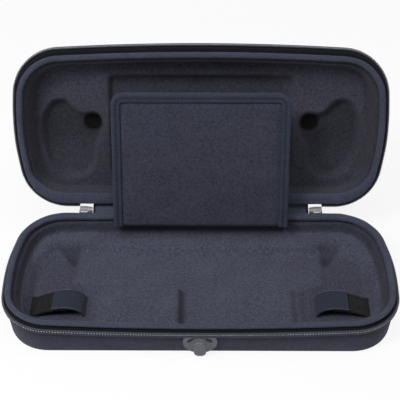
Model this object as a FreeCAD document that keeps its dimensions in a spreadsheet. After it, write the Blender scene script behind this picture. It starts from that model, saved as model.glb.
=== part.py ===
"""Zipped hard-shell storage case for a handheld games console, standing open.

Frame: +X to the right, +Y to the rear (the hinge side), +Z up, millimetres.
The origin is the centre of the flat underside. The lid is drawn closed, in a frame of its own on the hinge
line, and its placement turns it open. The flap is drawn upright on its own hinge line in the same way.
"""
import FreeCAD, Part
import math
import os
import Sketcher

SIZES = {
    # Plan outline of the zip line: a straight rear, bowed sides and a slightly bowed front.
    "case_width": 312.0,
    "case_depth": 139.0,
    "rear_corner_radius": 39.0,
    "front_corner_radius": 41.0,
    "side_radius": 250.0,
    "front_radius": 2050.0,
    "widest_forward": 7.0,
    # Heights of the two halves from the parting plane, and the hinge.
    "base_height": 29.0,
    "lid_height": 33.0,
    "parting_gap": 0.6,
    "hinge_setback": 0.9,
    "lid_open_angle": 110.0,
    # Moulded shells.
    "rim_drop": 4.5,
    "shell_inset": 2.8,
    "shell_wall": 3.0,
    "shell_floor": 2.5,
    "shell_draft_angle": 5.5,
    "bottom_radius": 4.0,
    "fit_clearance": 0.2,
    # Padded lip round each opening.
    "lip_inset": 2.9,
    "lip_width": 5.2,
    "lip_round": 2.3,
    # Zip halves.
    "zip_drop": 4.5,
    "tape_rise": 3.4,
    "tape_thickness": 1.2,
    "tape_lean_angle": 26.0,
    "coil_width": 2.4,
    "coil_height": 2.2,
    "coil_bevel": 0.7,
    "coil_gap": 0.2,
    "zip_end_margin": 52.0,
    # Cavity of both liners.
    "cavity_inset": 11.0,
    "cavity_draft_angle": 12.0,
    "cavity_round": 4.0,
    "step_draft_angle": 20.0,
    "corner_round": 7.0,
    # Base tray levels, as heights above the underside, and the plan of its steps.
    "shelf_level": 14.5,
    "floor_level": 9.0,
    "basin_level": 5.5,
    # Margins are measured inwards from the widest, rearmost and foremost lines of the case.
    "shelf_margin": 30.5,
    "block_rear": 8.0,
    "block_margin": 20.5,
    "notch_half": 17.0,
    "block_side_margin": 82.0,
    "plateau_margin": 55.0,
    "basin_margin": 18.0,
    "basin_corner": 14.0,
    "basin_setback": 22.0,
    "basin_ledge": 3.0,
    "bay_rear_margin": 23.0,
    "bay_near_margin": 61.0,
    "bay_middle_margin": 50.0,
    "bay_far_margin": 35.0,
    # Lid floor and its recesses, as depths from the lid's rim plane and distances from the hinge line.
    "lid_floor_depth": 21.0,
    "recess_depth": 5.0,
    "recess_margin": 78.0,
    "recess_near": 22.0,
    "recess_far_margin": 28.6,
    "recess_draft_angle": 38.0,
    "ear_depth": 5.0,
    "ear_draft_angle": 30.0,
    "ear_top_margin": 37.5,
    "ear_top_reach": 75.0,
    "ear_top_radius": 15.5,
    "ear_foot_margin": 48.0,
    "ear_foot_reach": 41.5,
    "ear_foot_radius": 18.5,
    "well_margin": 64.0,
    "well_reach": 70.0,
    "well_radius": 9.0,
    "well_shoulder": 10.5,
    "well_depth": 7.0,
    "well_draft_angle": 15.0,
    # Flap that covers the screen.
    "flap_side_gap": 5.0,
    "flap_end_gap": 28.5,
    "flap_thickness": 7.0,
    "flap_corner": 10.5,
    "flap_foot": 0.4,
    "flap_axis_inset": 14.3,
    "flap_axis_drop": 2.0,
    "flap_lean_angle": 23.0,
    "binding_width": 7.8,
    "binding_skin": 0.7,
    "panel_foot_round": 2.4,
    "flap_tape_thickness": 0.9,
    "flap_tape_margin": 3.0,
    "flap_tape_drop": 7.5,
    # Straps over the grips.
    "strap_margin": 43.2,
    "strap_front_margin": 46.0,
    "strap_width": 21.0,
    "strap_radius": 30.0,
    "strap_rise": 10.0,
    "strap_thickness": 1.5,
    "strap_gap": 0.15,
    "strap_split": 9.0,
    "strap_lap": 12.0,
    "strap_foot": 5.0,
    # Hinge strip.
    "strip_margin": 15.0,
    "strip_thickness": 1.3,
    # Zip sliders and pulls.
    "slider_length": 11.0,
    "slider_mouth": 7.0,
    "slider_tail": 5.0,
    "slider_depth": 5.4,
    "slider_plate": 1.3,
    "slider_drop": 3.8,
    "slider_forward": 2.0,
    "post_radius": 1.1,
    "post_drop": 1.4,
    "post_cap": 2.2,
    "post_cap_thickness": 0.8,
    "pull_length": 17.0,
    "pull_half": 2.7,
    "pull_tip_half": 3.2,
    "pull_thickness": 1.4,
    "pull_clearance": 0.35,
    "pull_slot": 6.0,
    "pull_round": 2.1,
    # Rubber grip tab.
    "tab_radius": 13.0,
    "tab_centre_drop": 5.8,
    "tab_thickness": 2.0,
    "tab_slot_inner": 9.4,
    "tab_slot_outer": 11.4,
    "tab_slot_drop": 10.6,
    "tab_slot_start_angle": 28.0,
    "tab_slot_end_angle": 63.0,
    "boss_radius": 6.6,
    "boss_drop": 7.0,
    "boss_thickness": 1.6,
    "tongue_half": 4.7,
    "tongue_reach": 19.8,
    "tongue_thickness": 3.0,
    "tongue_end_round": 4.0,
    "tongue_round": 1.2,
}

doc = FreeCAD.newDocument("storage_case")
sheet = doc.addObject("Spreadsheet::Sheet", "sizes")
for row, (alias, value) in enumerate(SIZES.items(), start=1):
    sheet.set(f"A{row}", alias)
    sheet.set(f"B{row}", str(value))
    sheet.setAlias(f"B{row}", alias)
doc.recompute()

# Expressions that several pieces share.
HALF_WIDTH = "(sizes.case_width / 2)"
HALF_DEPTH = "(sizes.case_depth / 2)"
ZIP_END = f"({HALF_WIDTH} - sizes.zip_end_margin)"
SHELF_FRONT = f"({HALF_DEPTH} - sizes.shelf_margin)"
BLOCK_FRONT = f"({HALF_DEPTH} - sizes.block_margin)"
BLOCK_HALF = f"({HALF_WIDTH} - sizes.block_side_margin)"
PLATEAU_HALF = f"({HALF_WIDTH} - sizes.plateau_margin)"
BASIN_HALF = f"({HALF_WIDTH} - sizes.basin_margin)"
BASIN_REAR = f"({SHELF_FRONT} - sizes.basin_setback)"
BAY_REAR = f"({HALF_DEPTH} - sizes.bay_rear_margin)"
BAY_NEAR = f"({HALF_WIDTH} - sizes.bay_near_margin)"
BAY_MIDDLE = f"({HALF_WIDTH} - sizes.bay_middle_margin)"
BAY_FAR = f"({HALF_WIDTH} - sizes.bay_far_margin)"
RECESS_HALF = f"({HALF_WIDTH} - sizes.recess_margin)"
RECESS_FAR = "(sizes.case_depth + sizes.hinge_setback - sizes.recess_far_margin)"
FLAP_HALF = f"({RECESS_HALF} - sizes.flap_side_gap)"
FLAP_LENGTH = "(sizes.case_depth - sizes.flap_end_gap)"
STRAP_ACROSS = f"({HALF_WIDTH} - sizes.strap_margin)"
STRAP_FORWARD = f"({HALF_DEPTH} - sizes.strap_front_margin)"
REAR_AXIS = "(sizes.case_depth / 2 + sizes.hinge_setback)"
AXIS_HEIGHT = "(sizes.base_height + sizes.parting_gap / 2)"
BASE_EDGE = "(sizes.base_height - sizes.rim_drop)"
LID_RIM = "(sizes.parting_gap / 2)"
LID_EDGE = "(sizes.parting_gap / 2 + sizes.rim_drop)"
LID_FLOOR = "(sizes.parting_gap / 2 + sizes.lid_floor_depth)"
INNER_INSET = "(sizes.shell_inset + sizes.shell_wall)"
# The zip is sewn to the shell's wall, this far in from the outline.
SEAM_INSET = "(sizes.shell_inset + sizes.zip_drop * tan(sizes.shell_draft_angle))"
LINER_INSET = "(sizes.shell_inset + sizes.shell_wall + sizes.fit_clearance)"
FLAP_AXIS_Y = "(sizes.case_depth / 2 - sizes.flap_axis_inset)"
FLAP_AXIS_Z = "(sizes.base_height - sizes.flap_axis_drop)"

SLIDER_Y = "(sizes.case_depth / 2 + sizes.slider_forward)"
SLIDER_Z = f"({AXIS_HEIGHT} - sizes.slider_drop)"

# Two lengths count as the same when they differ by less than this.
TOUCH = 0.01

pieces = []


def close(one, other):
    return abs(one - other) < TOUCH


def number(expression):
    """The value of an expression over the sheet's sizes, as a plain number."""
    value = sheet.evalExpression(expression.replace("sizes.", ""))
    return float(getattr(value, "Value", value))


def new_body(label):
    body = doc.addObject("PartDesign::Body", label)
    body.Label = label
    pieces.append(body)
    return body


def keep(shape_object, label):
    """List a finished boolean or primitive as a piece of the case."""
    shape_object.Label = label
    pieces.append(shape_object)
    return shape_object


def place(piece, x="0", y="0", z="0", tilt=None):
    """Put a piece in the case, tilted about the X axis so that its top leans to the rear."""
    piece.Placement = FreeCAD.Placement(
        FreeCAD.Vector(number(x), number(y), number(z)),
        FreeCAD.Rotation(FreeCAD.Vector(-1, 0, 0), number(tilt) if tilt else 0),
    )
    for axis, expression in zip("xyz", (x, y, z)):
        piece.setExpression(f"Placement.Base.{axis}", expression)
    if tilt:
        piece.setExpression("Placement.Rotation.Angle", tilt)


def place_on_lid(piece):
    place(piece, y=REAR_AXIS, z=AXIS_HEIGHT, tilt="sizes.lid_open_angle")


def place_on_flap(piece):
    place(piece, y=FLAP_AXIS_Y, z=FLAP_AXIS_Z, tilt="sizes.flap_lean_angle")


def new_sketch(body, name, plane="XY_Plane", lift="0", shift="0"):
    """A sketch on an origin plane, lifted along its normal and shifted along its own Y."""
    sketch = body.newObject("Sketcher::SketchObject", name)
    support = next(f for f in body.Origin.OriginFeatures if f.Role == plane)
    sketch.AttachmentSupport = [(support, "")]
    sketch.MapMode = "FlatFace"
    sketch.AttachmentOffset = FreeCAD.Placement(
        FreeCAD.Vector(0, number(shift), number(lift)), FreeCAD.Rotation()
    )
    sketch.setExpression("AttachmentOffset.Base.z", lift)
    sketch.setExpression("AttachmentOffset.Base.y", shift)
    return sketch


def bind(sketch, kind, *where_and_expression):
    """Add a dimension whose value is an expression."""
    *where, expression = where_and_expression
    index = sketch.addConstraint(Sketcher.Constraint(kind, *where, number(expression)))
    sketch.setExpression(f"Constraints[{index}]", expression)


def arc(sketch, centre, radius, start, end):
    circle = Part.Circle(FreeCAD.Vector(*centre, 0), FreeCAD.Vector(0, 0, 1), radius)
    return sketch.addGeometry(Part.ArcOfCircle(circle, start, end))


def line(sketch, start, end):
    return sketch.addGeometry(
        Part.LineSegment(FreeCAD.Vector(*start, 0), FreeCAD.Vector(*end, 0))
    )


def at_distance(centre, other, distance, other_distance):
    """The front right point at given distances from two centres."""
    across = other[0] - centre[0]
    along = other[1] - centre[1]
    apart = math.hypot(across, along)
    step = (distance**2 - other_distance**2 + apart**2) / (2 * apart)
    side = math.sqrt(distance**2 - step**2)
    return (
        centre[0] + (across * step + along * side) / apart,
        centre[1] + (along * step - across * side) / apart,
    )


def draw_outline(sketch, inset):
    """The case's plan outline, moved inwards by the inset: one line and seven tangent arcs."""
    away = number(inset)
    half = number("sizes.case_width / 2")
    depth = number("sizes.case_depth / 2")
    rear = number("sizes.rear_corner_radius")
    front = number("sizes.front_corner_radius")
    side = number("sizes.side_radius")
    bow = number("sizes.front_radius")
    side_centre = (half - side, -number("sizes.widest_forward"))
    front_centre = (0.0, bow - depth)
    drop = depth - rear - side_centre[1]
    rear_centre = (side_centre[0] + math.sqrt((side - rear) ** 2 - drop**2), depth - rear)
    corner = at_distance(side_centre, front_centre, side - front, bow - front)
    rear_turn = math.atan2(rear_centre[1] - side_centre[1], rear_centre[0] - side_centre[0])
    side_turn = math.atan2(corner[1] - side_centre[1], corner[0] - side_centre[0])
    front_turn = math.atan2(corner[1] - front_centre[1], corner[0] - front_centre[0])
    half_turn = math.pi

    def mirrored(point):
        return (-point[0], point[1])

    line(sketch, (-rear_centre[0], depth - away), (rear_centre[0], depth - away))
    arc(sketch, rear_centre, rear - away, rear_turn, half_turn / 2)
    arc(sketch, side_centre, side - away, side_turn, rear_turn)
    arc(sketch, corner, front - away, front_turn, side_turn)
    arc(sketch, front_centre, bow - away, -half_turn - front_turn, front_turn)
    arc(sketch, mirrored(corner), front - away, half_turn - side_turn, half_turn - front_turn)
    arc(sketch, mirrored(side_centre), side - away, half_turn - rear_turn, half_turn - side_turn)
    arc(sketch, mirrored(rear_centre), rear - away, half_turn / 2, half_turn - rear_turn)
    joints = [(0, 2, 1, 2), (1, 1, 2, 2), (2, 1, 3, 2), (3, 1, 4, 2)]
    joints += [(4, 1, 5, 2), (5, 1, 6, 2), (6, 1, 7, 2), (7, 1, 0, 1)]
    for joint in joints:
        sketch.addConstraint(Sketcher.Constraint("Tangent", *joint))
    for pair in ((1, 7), (2, 6), (3, 5)):
        sketch.addConstraint(Sketcher.Constraint("Equal", *pair))
    sketch.addConstraint(Sketcher.Constraint("Horizontal", 0))
    sketch.addConstraint(Sketcher.Constraint("PointOnObject", 4, 3, -2))
    bind(sketch, "Radius", 1, f"sizes.rear_corner_radius - {inset}")
    bind(sketch, "Radius", 2, f"sizes.side_radius - {inset}")
    bind(sketch, "Radius", 3, f"sizes.front_corner_radius - {inset}")
    bind(sketch, "Radius", 4, f"sizes.front_radius - {inset}")
    bind(sketch, "DistanceY", -1, 1, 0, 1, f"sizes.case_depth / 2 - {inset}")
    bind(sketch, "DistanceY", -1, 1, 4, 3, "sizes.front_radius - sizes.case_depth / 2")
    bind(sketch, "DistanceX", 2, 3, -1, 1, "sizes.side_radius - sizes.case_width / 2")
    bind(sketch, "DistanceX", -1, 1, 6, 3, "sizes.side_radius - sizes.case_width / 2")
    bind(sketch, "DistanceY", 2, 3, -1, 1, "sizes.widest_forward")
    bind(sketch, "DistanceY", 6, 3, -1, 1, "sizes.widest_forward")


def draw_polygon(sketch, corners):
    """A closed chain of lines through corners given as pairs of expressions."""
    points = [(number(x), number(y)) for x, y in corners]
    first = sketch.GeometryCount
    count = len(points)
    for index, point in enumerate(points):
        line(sketch, point, points[(index + 1) % count])
    for index in range(count):
        follower = first + (index + 1) % count
        sketch.addConstraint(Sketcher.Constraint("Coincident", first + index, 2, follower, 1))
    for index, corner in enumerate(corners):
        for kind, expression in zip(("DistanceX", "DistanceY"), corner):
            bind(sketch, kind, -1, 1, first + index, 1, expression)


def draw_circle(sketch, x, y, radius):
    centre = FreeCAD.Vector(number(x), number(y), 0)
    circle = Part.Circle(centre, FreeCAD.Vector(0, 0, 1), number(radius))
    index = sketch.addGeometry(circle)
    bind(sketch, "Radius", index, radius)
    bind(sketch, "DistanceX", -1, 1, index, 3, x)
    bind(sketch, "DistanceY", -1, 1, index, 3, y)


def add_feature(body, kind, sketch, length, taper=None, reverse=False, symmetric=False):
    feature = body.newObject(f"PartDesign::{kind}", f"{sketch.Name}_{kind}")
    feature.Profile = sketch
    feature.setExpression("Length", length)
    if taper:
        feature.setExpression("TaperAngle", taper)
    feature.Reversed = reverse
    if symmetric:
        feature.SideType = "Symmetric"
    doc.recompute()
    return feature


def pad(body, sketch, length, **how):
    return add_feature(body, "Pad", sketch, length, **how)


def pocket(body, sketch, length, **how):
    before = body.Shape.Volume
    feature = add_feature(body, "Pocket", sketch, length, **how)
    if body.Shape.Volume > before - TOUCH:
        raise RuntimeError(f"{feature.Name} cuts nothing")
    return feature


def dress_edges(body, kind, base, property_name, size, chosen):
    """Fillet or chamfer the edges of the body's last feature that the test picks out."""
    names = [f"Edge{n}" for n, edge in enumerate(base.Shape.Edges, start=1) if chosen(edge)]
    feature = body.newObject(f"PartDesign::{kind}", f"{base.Name}_{kind}")
    feature.Base = (base, names)
    feature.setExpression(property_name, size)
    doc.recompute()
    return feature


def round_edges(body, base, radius, chosen):
    return dress_edges(body, "Fillet", base, "Radius", radius, chosen)


def bevel_edges(body, base, size, chosen):
    return dress_edges(body, "Chamfer", base, "Size", size, chosen)


def lies_at(height):
    """A test for edges that lie flat at one height."""

    def chosen(edge):
        box = edge.BoundBox
        return close(box.ZMin, height) and close(box.ZMax, height)

    return chosen


def stands_between(low, high, reach):
    """A test for straight edges that run from one height to another, no further out than the reach."""

    def chosen(edge):
        box = edge.BoundBox
        spans = close(box.ZMin, low) and close(box.ZMax, high)
        return spans and max(abs(box.XMin), abs(box.XMax)) < reach

    return chosen


def tub(body, inset, edge, shift, depth, reverse, radius, end):
    """A drafted block with the case's outline and a rounded closed end."""
    outline = new_sketch(body, f"{body.Label}_outline", lift=edge, shift=shift)
    draw_outline(outline, inset)
    block = pad(body, outline, depth, taper="-sizes.shell_draft_angle", reverse=reverse)
    return round_edges(body, block, radius, lies_at(number(end)))


def make_shell(label, edge, shift, depth, reverse, end, inner_end):
    """One half's moulded shell: even wall, drafted sides, rounded bottom edge inside and out."""
    body = new_body(label)
    tub(body, "sizes.shell_inset", edge, shift, depth, reverse, "sizes.bottom_radius", end)
    inside = new_sketch(body, f"{label}_inside", lift=edge, shift=shift)
    draw_outline(inside, INNER_INSET)
    hollow = pocket(
        body, inside, f"{depth} - sizes.shell_floor", taper="-sizes.shell_draft_angle", reverse=not reverse
    )
    radius = "sizes.bottom_radius - sizes.shell_wall"
    round_edges(body, hollow, radius, lies_at(number(inner_end)))
    return body


def make_ring(label, outer, inner, lift, shift, length, reverse, taper=None):
    """A band between two insets of the outline."""
    body = new_body(label)
    outside = new_sketch(body, f"{label}_outside", lift=lift, shift=shift)
    draw_outline(outside, outer)
    pad(body, outside, length, taper=taper, reverse=reverse)
    inside = new_sketch(body, f"{label}_inside", lift=lift, shift=shift)
    draw_outline(inside, inner)
    pocket(body, inside, length, taper=taper, reverse=not reverse)
    return body


def open_rear(body, lift, shift, length, reverse):
    """Cut the rear stretch between the two ends of the zip out of a band."""
    gap = new_sketch(body, f"{body.Label}_rear_gap", lift=lift, shift=shift)
    near = "sizes.case_depth / 2 - sizes.rear_corner_radius"
    far = "sizes.case_depth / 2 + sizes.rear_corner_radius"
    ends = (f"-{ZIP_END}", ZIP_END)
    draw_polygon(gap, [(ends[0], near), (ends[1], near), (ends[1], far), (ends[0], far)])
    return pocket(body, gap, length, reverse=reverse)


def make_lip(label, rim, edge, shift, reverse):
    """Padded roll that stands on the shell's and the liner's edges."""
    inner = "(sizes.lip_inset + sizes.lip_width)"
    body = make_ring(label, "sizes.lip_inset", inner, edge, shift, "sizes.rim_drop", reverse)
    round_edges(body, body.Tip, "sizes.lip_round", lies_at(number(rim)))
    return body


def make_zip_half(name, edge, shift, reverse):
    """Tape that leans outwards from its seam on the shell's wall, with the coil along its top."""
    down, up = ("+", "-") if reverse else ("-", "+")
    seam = f"({edge} {down} sizes.zip_drop)"
    inner = f"({SEAM_INSET} - sizes.fit_clearance)"
    outer = f"({inner} - sizes.tape_thickness)"
    rise = "sizes.tape_rise"
    tape = make_ring(f"{name}_zip_tape", outer, inner, seam, shift, rise, reverse, "sizes.tape_lean_angle")
    open_rear(tape, seam, shift, rise, not reverse)
    foot = f"({seam} {up} (sizes.tape_rise + sizes.coil_gap))"
    head = f"({foot} {up} sizes.coil_height)"
    coil = make_ring(
        f"{name}_zip_coil", "0", "sizes.coil_width", foot, shift, "sizes.coil_height", reverse
    )
    tests = [lies_at(number(height)) for height in (foot, head)]
    bevel_edges(coil, coil.Tip, "sizes.coil_bevel", lambda edge: any(test(edge) for test in tests))
    open_rear(coil, foot, shift, "sizes.coil_height", not reverse)
    return tape, coil


def make_base_liner():
    """Moulded tray: rear shelf, lower middle, deep side basins and two front blocks."""
    body = new_body("base_liner")
    depth = f"({BASE_EDGE} - sizes.shell_floor - sizes.fit_clearance)"
    radius = "sizes.bottom_radius - sizes.shell_wall"
    tub(body, LINER_INSET, BASE_EDGE, "0", depth, True, radius, "sizes.shell_floor + sizes.fit_clearance")
    cavity = new_sketch(body, "base_cavity", lift=BASE_EDGE)
    draw_outline(cavity, "sizes.cavity_inset")
    pocket(body, cavity, f"{BASE_EDGE} - sizes.shelf_level", taper="-sizes.cavity_draft_angle")

    middle = new_sketch(body, "base_middle", lift="sizes.shelf_level")
    cut = "sizes.basin_corner"
    corners = [(BAY_NEAR, SHELF_FRONT), (BAY_MIDDLE, BAY_REAR)]
    corners += [(BAY_FAR, BAY_REAR)]
    corners += [(BASIN_HALF, BASIN_REAR)]
    corners += [(BASIN_HALF, f"{cut} - {BLOCK_FRONT}")]
    corners += [(f"({BASIN_HALF} - {cut})", f"-{BLOCK_FRONT}")]
    corners += [(BLOCK_HALF, f"-{BLOCK_FRONT}"), (BLOCK_HALF, "-sizes.block_rear")]
    corners += [("sizes.notch_half", "-sizes.block_rear"), ("sizes.notch_half", f"-{BLOCK_FRONT}")]
    left = [(f"-{x}", y) for x, y in reversed(corners)]
    draw_polygon(middle, corners + left)
    drop = "sizes.shelf_level - sizes.floor_level"
    step = pocket(body, middle, drop, taper="-sizes.step_draft_angle")
    levels = (number("sizes.floor_level"), number("sizes.shelf_level"))
    inside = number("sizes.case_width / 2 - sizes.cavity_inset")
    round_edges(body, step, "sizes.corner_round", stands_between(*levels, inside))

    basins = new_sketch(body, "base_basins", lift="sizes.floor_level")
    rim, ledge = "sizes.corner_round", "sizes.basin_ledge"
    front = f"{rim} - {BLOCK_FRONT}"
    outer = f"({BASIN_HALF} - {ledge})"
    slant = f"({BASIN_HALF} + {BLOCK_FRONT} - {cut} - {ledge} * sqrt(2))"
    right = [(PLATEAU_HALF, f"{SHELF_FRONT} - {rim}")]
    right += [(PLATEAU_HALF, f"{rim} - sizes.block_rear")]
    right += [(f"{BLOCK_HALF} + {rim}", "-sizes.block_rear")]
    right += [(f"{BLOCK_HALF} + {rim}", front)]
    right += [(f"{slant} + {front}", front)]
    right += [(outer, f"{outer} - {slant}")]
    right += [(outer, f"{BASIN_REAR} - {ledge}")]
    right += [(BAY_FAR, f"{SHELF_FRONT} - {rim}")]
    draw_polygon(basins, right)
    draw_polygon(basins, [(f"-({x})", y) for x, y in right])
    drop = "sizes.floor_level - sizes.basin_level"
    floor = pocket(body, basins, drop, taper="-sizes.step_draft_angle")
    levels = (number("sizes.basin_level"), number("sizes.floor_level"))
    round_edges(body, floor, "sizes.corner_round / 2", stands_between(*levels, inside))
    return body


def make_lid_liner(shift):
    """Moulded lining of the lid: flap recess, two ear-shaped grip recesses and two stick wells."""
    body = new_body("lid_liner")
    depth = "(sizes.lid_height - sizes.rim_drop - sizes.shell_floor - sizes.fit_clearance)"
    radius = "sizes.bottom_radius - sizes.shell_wall"
    end = f"{LID_EDGE} + {depth}"
    tub(body, LINER_INSET, LID_EDGE, shift, depth, False, radius, end)
    cavity = new_sketch(body, "lid_cavity", lift=LID_EDGE, shift=shift)
    draw_outline(cavity, "sizes.cavity_inset")
    drop = f"{LID_FLOOR} - {LID_EDGE}"
    hollow = pocket(body, cavity, drop, taper="-sizes.cavity_draft_angle", reverse=True)
    round_edges(body, hollow, "sizes.cavity_round", lies_at(number(LID_FLOOR)))

    recess = new_sketch(body, "flap_recess", lift=LID_FLOOR)
    half, near, far = RECESS_HALF, "-sizes.recess_near", f"-{RECESS_FAR}"
    draw_polygon(recess, [(half, near), (half, far), (f"-{half}", far), (f"-{half}", near)])
    pocket(body, recess, "sizes.recess_depth", taper="-sizes.recess_draft_angle", reverse=True)

    ears = new_sketch(body, "lid_ears", lift=LID_FLOOR)
    draw_ears(ears)
    pocket(body, ears, "sizes.ear_depth", taper="-sizes.ear_draft_angle", reverse=True)

    wells = new_sketch(body, "stick_wells", lift=LID_FLOOR)
    for sign in ("", "-"):
        across = f"{sign}({HALF_WIDTH} - sizes.well_margin)"
        draw_circle(wells, across, "-sizes.well_reach", "sizes.well_radius")
    pocket(body, wells, "sizes.well_depth", taper="-sizes.well_draft_angle", reverse=True)
    place_on_lid(body)
    return body


def draw_hull(sketch, circles):
    """A closed outline round several circles, given anticlockwise: arcs joined by outer tangents."""
    places = [(number(x), number(y)) for x, y, _ in circles]
    radii = [number(radius) for _, _, radius in circles]
    count = len(circles)
    turns = []
    for index in range(count):
        follower = (index + 1) % count
        across = places[follower][0] - places[index][0]
        along = places[follower][1] - places[index][1]
        lean = math.acos((radii[index] - radii[follower]) / math.hypot(across, along))
        turns.append(math.atan2(along, across) - lean)

    def rim(index, angle):
        centre, radius = places[index], radii[index]
        return (centre[0] + radius * math.cos(angle), centre[1] + radius * math.sin(angle))

    rounds = []
    runs = []
    for index in range(count):
        start, end = turns[index - 1], turns[index]
        while end < start:
            end += 2 * math.pi
        rounds.append(arc(sketch, places[index], radii[index], start, end))
    for index, angle in enumerate(turns):
        runs.append(line(sketch, rim(index, angle), rim((index + 1) % count, angle)))
    for index in range(count):
        follower = rounds[(index + 1) % count]
        sketch.addConstraint(Sketcher.Constraint("Tangent", rounds[index], 2, runs[index], 1))
        sketch.addConstraint(Sketcher.Constraint("Tangent", runs[index], 2, follower, 1))
    for curve, (x, y, radius) in zip(rounds, circles):
        bind(sketch, "Radius", curve, radius)
        bind(sketch, "DistanceX", -1, 1, curve, 3, x)
        bind(sketch, "DistanceY", -1, 1, curve, 3, y)


def draw_ears(sketch):
    """Recess for the console's grip on each side: a top lobe, a foot lobe and the stick's shoulder."""
    right = []
    for name in ("ear_top", "ear_foot", "well"):
        size = "well_shoulder" if name == "well" else f"{name}_radius"
        across = f"({HALF_WIDTH} - sizes.{name}_margin)"
        right.append((across, f"-sizes.{name}_reach", f"sizes.{size}"))
    draw_hull(sketch, right)
    draw_hull(sketch, [(f"-{x}", y, radius) for x, y, radius in reversed(right)])


def draw_flap_outline(sketch, inset):
    """The flap's face: square at its foot, rounded at its top corners."""
    half = f"({FLAP_HALF} - {inset})"
    top = f"({FLAP_LENGTH} - {inset})"
    radius = f"(sizes.flap_corner - {inset})"
    x, y, r, foot = number(half), number(top), number(radius), number("sizes.flap_foot")
    line(sketch, (-x, foot), (x, foot))
    line(sketch, (x, foot), (x, y - r))
    arc(sketch, (x - r, y - r), r, 0.0, math.pi / 2)
    line(sketch, (x - r, y), (r - x, y))
    arc(sketch, (r - x, y - r), r, math.pi / 2, math.pi)
    line(sketch, (-x, y - r), (-x, foot))
    for joint in ((0, 2, 1, 1), (5, 2, 0, 1)):
        sketch.addConstraint(Sketcher.Constraint("Coincident", *joint))
    for joint in ((1, 2, 2, 1), (2, 2, 3, 1), (3, 2, 4, 1), (4, 2, 5, 1)):
        sketch.addConstraint(Sketcher.Constraint("Tangent", *joint))
    for kind, index in (("Horizontal", 0), ("Vertical", 1), ("Horizontal", 3), ("Vertical", 5)):
        sketch.addConstraint(Sketcher.Constraint(kind, index))
    bind(sketch, "Radius", 2, radius)
    bind(sketch, "Radius", 4, radius)
    bind(sketch, "DistanceX", -1, 1, 0, 2, half)
    bind(sketch, "DistanceX", 0, 1, -1, 1, half)
    bind(sketch, "DistanceY", -1, 1, 0, 1, "sizes.flap_foot")
    bind(sketch, "DistanceY", -1, 1, 3, 1, top)


def make_flap():
    """Padded board and the sewn edging that wraps its left, top and right edges."""
    skin, clear = "sizes.binding_skin", "sizes.fit_clearance"
    panel = new_body("flap_panel")
    face = new_sketch(panel, "panel_face", plane="XZ_Plane", lift=f"{skin} + {clear}")
    draw_flap_outline(face, f"({skin} + {clear})")
    thick = f"sizes.flap_thickness - 2 * ({skin} + {clear})"
    board = pad(panel, face, thick)
    foot = number("sizes.flap_foot")
    long = number(FLAP_HALF)
    round_edges(panel, board, "sizes.panel_foot_round", lambda e: lies_at(foot)(e) and e.Length > long)
    place_on_flap(panel)

    binding = new_body("flap_binding")
    rim = new_sketch(binding, "binding_rim", plane="XZ_Plane")
    draw_flap_outline(rim, "0")
    pad(binding, rim, "sizes.flap_thickness")
    window = new_sketch(binding, "binding_window", plane="XZ_Plane")
    half = f"({FLAP_HALF} - sizes.binding_width)"
    top = f"({FLAP_LENGTH} - sizes.binding_width)"
    below = "-sizes.flap_corner"
    draw_polygon(window, [(f"-{half}", below), (half, below), (half, top), (f"-{half}", top)])
    pocket(binding, window, "sizes.flap_thickness", reverse=True)
    groove = new_sketch(binding, "binding_groove", plane="XZ_Plane", lift=skin)
    draw_flap_outline(groove, skin)
    pocket(binding, groove, f"sizes.flap_thickness - 2 * {skin}", reverse=True)
    place_on_flap(binding)


def make_flap_tape():
    """Cloth tape inside the rear wall that the flap swings on."""
    tape = doc.addObject("Part::Box", "flap_hinge_tape")
    length = f"2 * ({FLAP_HALF} - sizes.flap_tape_margin)"
    tape.setExpression("Length", length)
    tape.setExpression("Width", "sizes.flap_tape_thickness")
    low = f"({BASE_EDGE} - sizes.flap_tape_drop)"
    tape.setExpression("Height", f"{FLAP_AXIS_Z} - sizes.fit_clearance / 2 - {low}")
    wall = "(sizes.cavity_inset + sizes.flap_tape_drop * tan(sizes.cavity_draft_angle))"
    y = f"sizes.case_depth / 2 - {wall} - sizes.fit_clearance - sizes.flap_tape_thickness"
    place(tape, x=f"-({length}) / 2", y=y, z=low)
    keep(tape, "flap_hinge_tape")


def make_arch(name, mirror, radius, near, far):
    """Part of a round cloth arch over a basin, between two distances from the middle of the case."""
    centre_x = f"({mirror} * {STRAP_ACROSS})"
    centre_z = "(sizes.basin_level + sizes.strap_rise - sizes.strap_radius)"
    rear = f"(sizes.strap_width / 2 - {STRAP_FORWARD})"
    tubes = []
    for part, size in (("outer", radius), ("inner", f"({radius} - sizes.strap_thickness)")):
        tube = doc.addObject("Part::Cylinder", f"{name}_{part}")
        tube.setExpression("Radius", size)
        tube.setExpression("Height", "sizes.strap_width")
        tube.Placement = FreeCAD.Placement(
            FreeCAD.Vector(number(centre_x), number(rear), number(centre_z)),
            FreeCAD.Rotation(FreeCAD.Vector(1, 0, 0), 90),
        )
        for axis, expression in zip("xyz", (centre_x, rear, centre_z)):
            tube.setExpression(f"Placement.Base.{axis}", expression)
        tubes.append(tube)
    ring = doc.addObject("Part::Cut", f"{name}_ring")
    ring.Base, ring.Tool = tubes
    window = doc.addObject("Part::Box", f"{name}_window")
    window.setExpression("Length", f"{far} - {near}")
    window.setExpression("Width", "sizes.strap_width")
    window.setExpression("Height", "sizes.strap_radius")
    start = near if mirror > 0 else f"-({far})"
    place(window, x=start, y=f"{rear} - sizes.strap_width", z="sizes.basin_level")
    arch = doc.addObject("Part::Common", f"{name}_arch")
    arch.Base, arch.Tool = ring, window
    return arch


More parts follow.
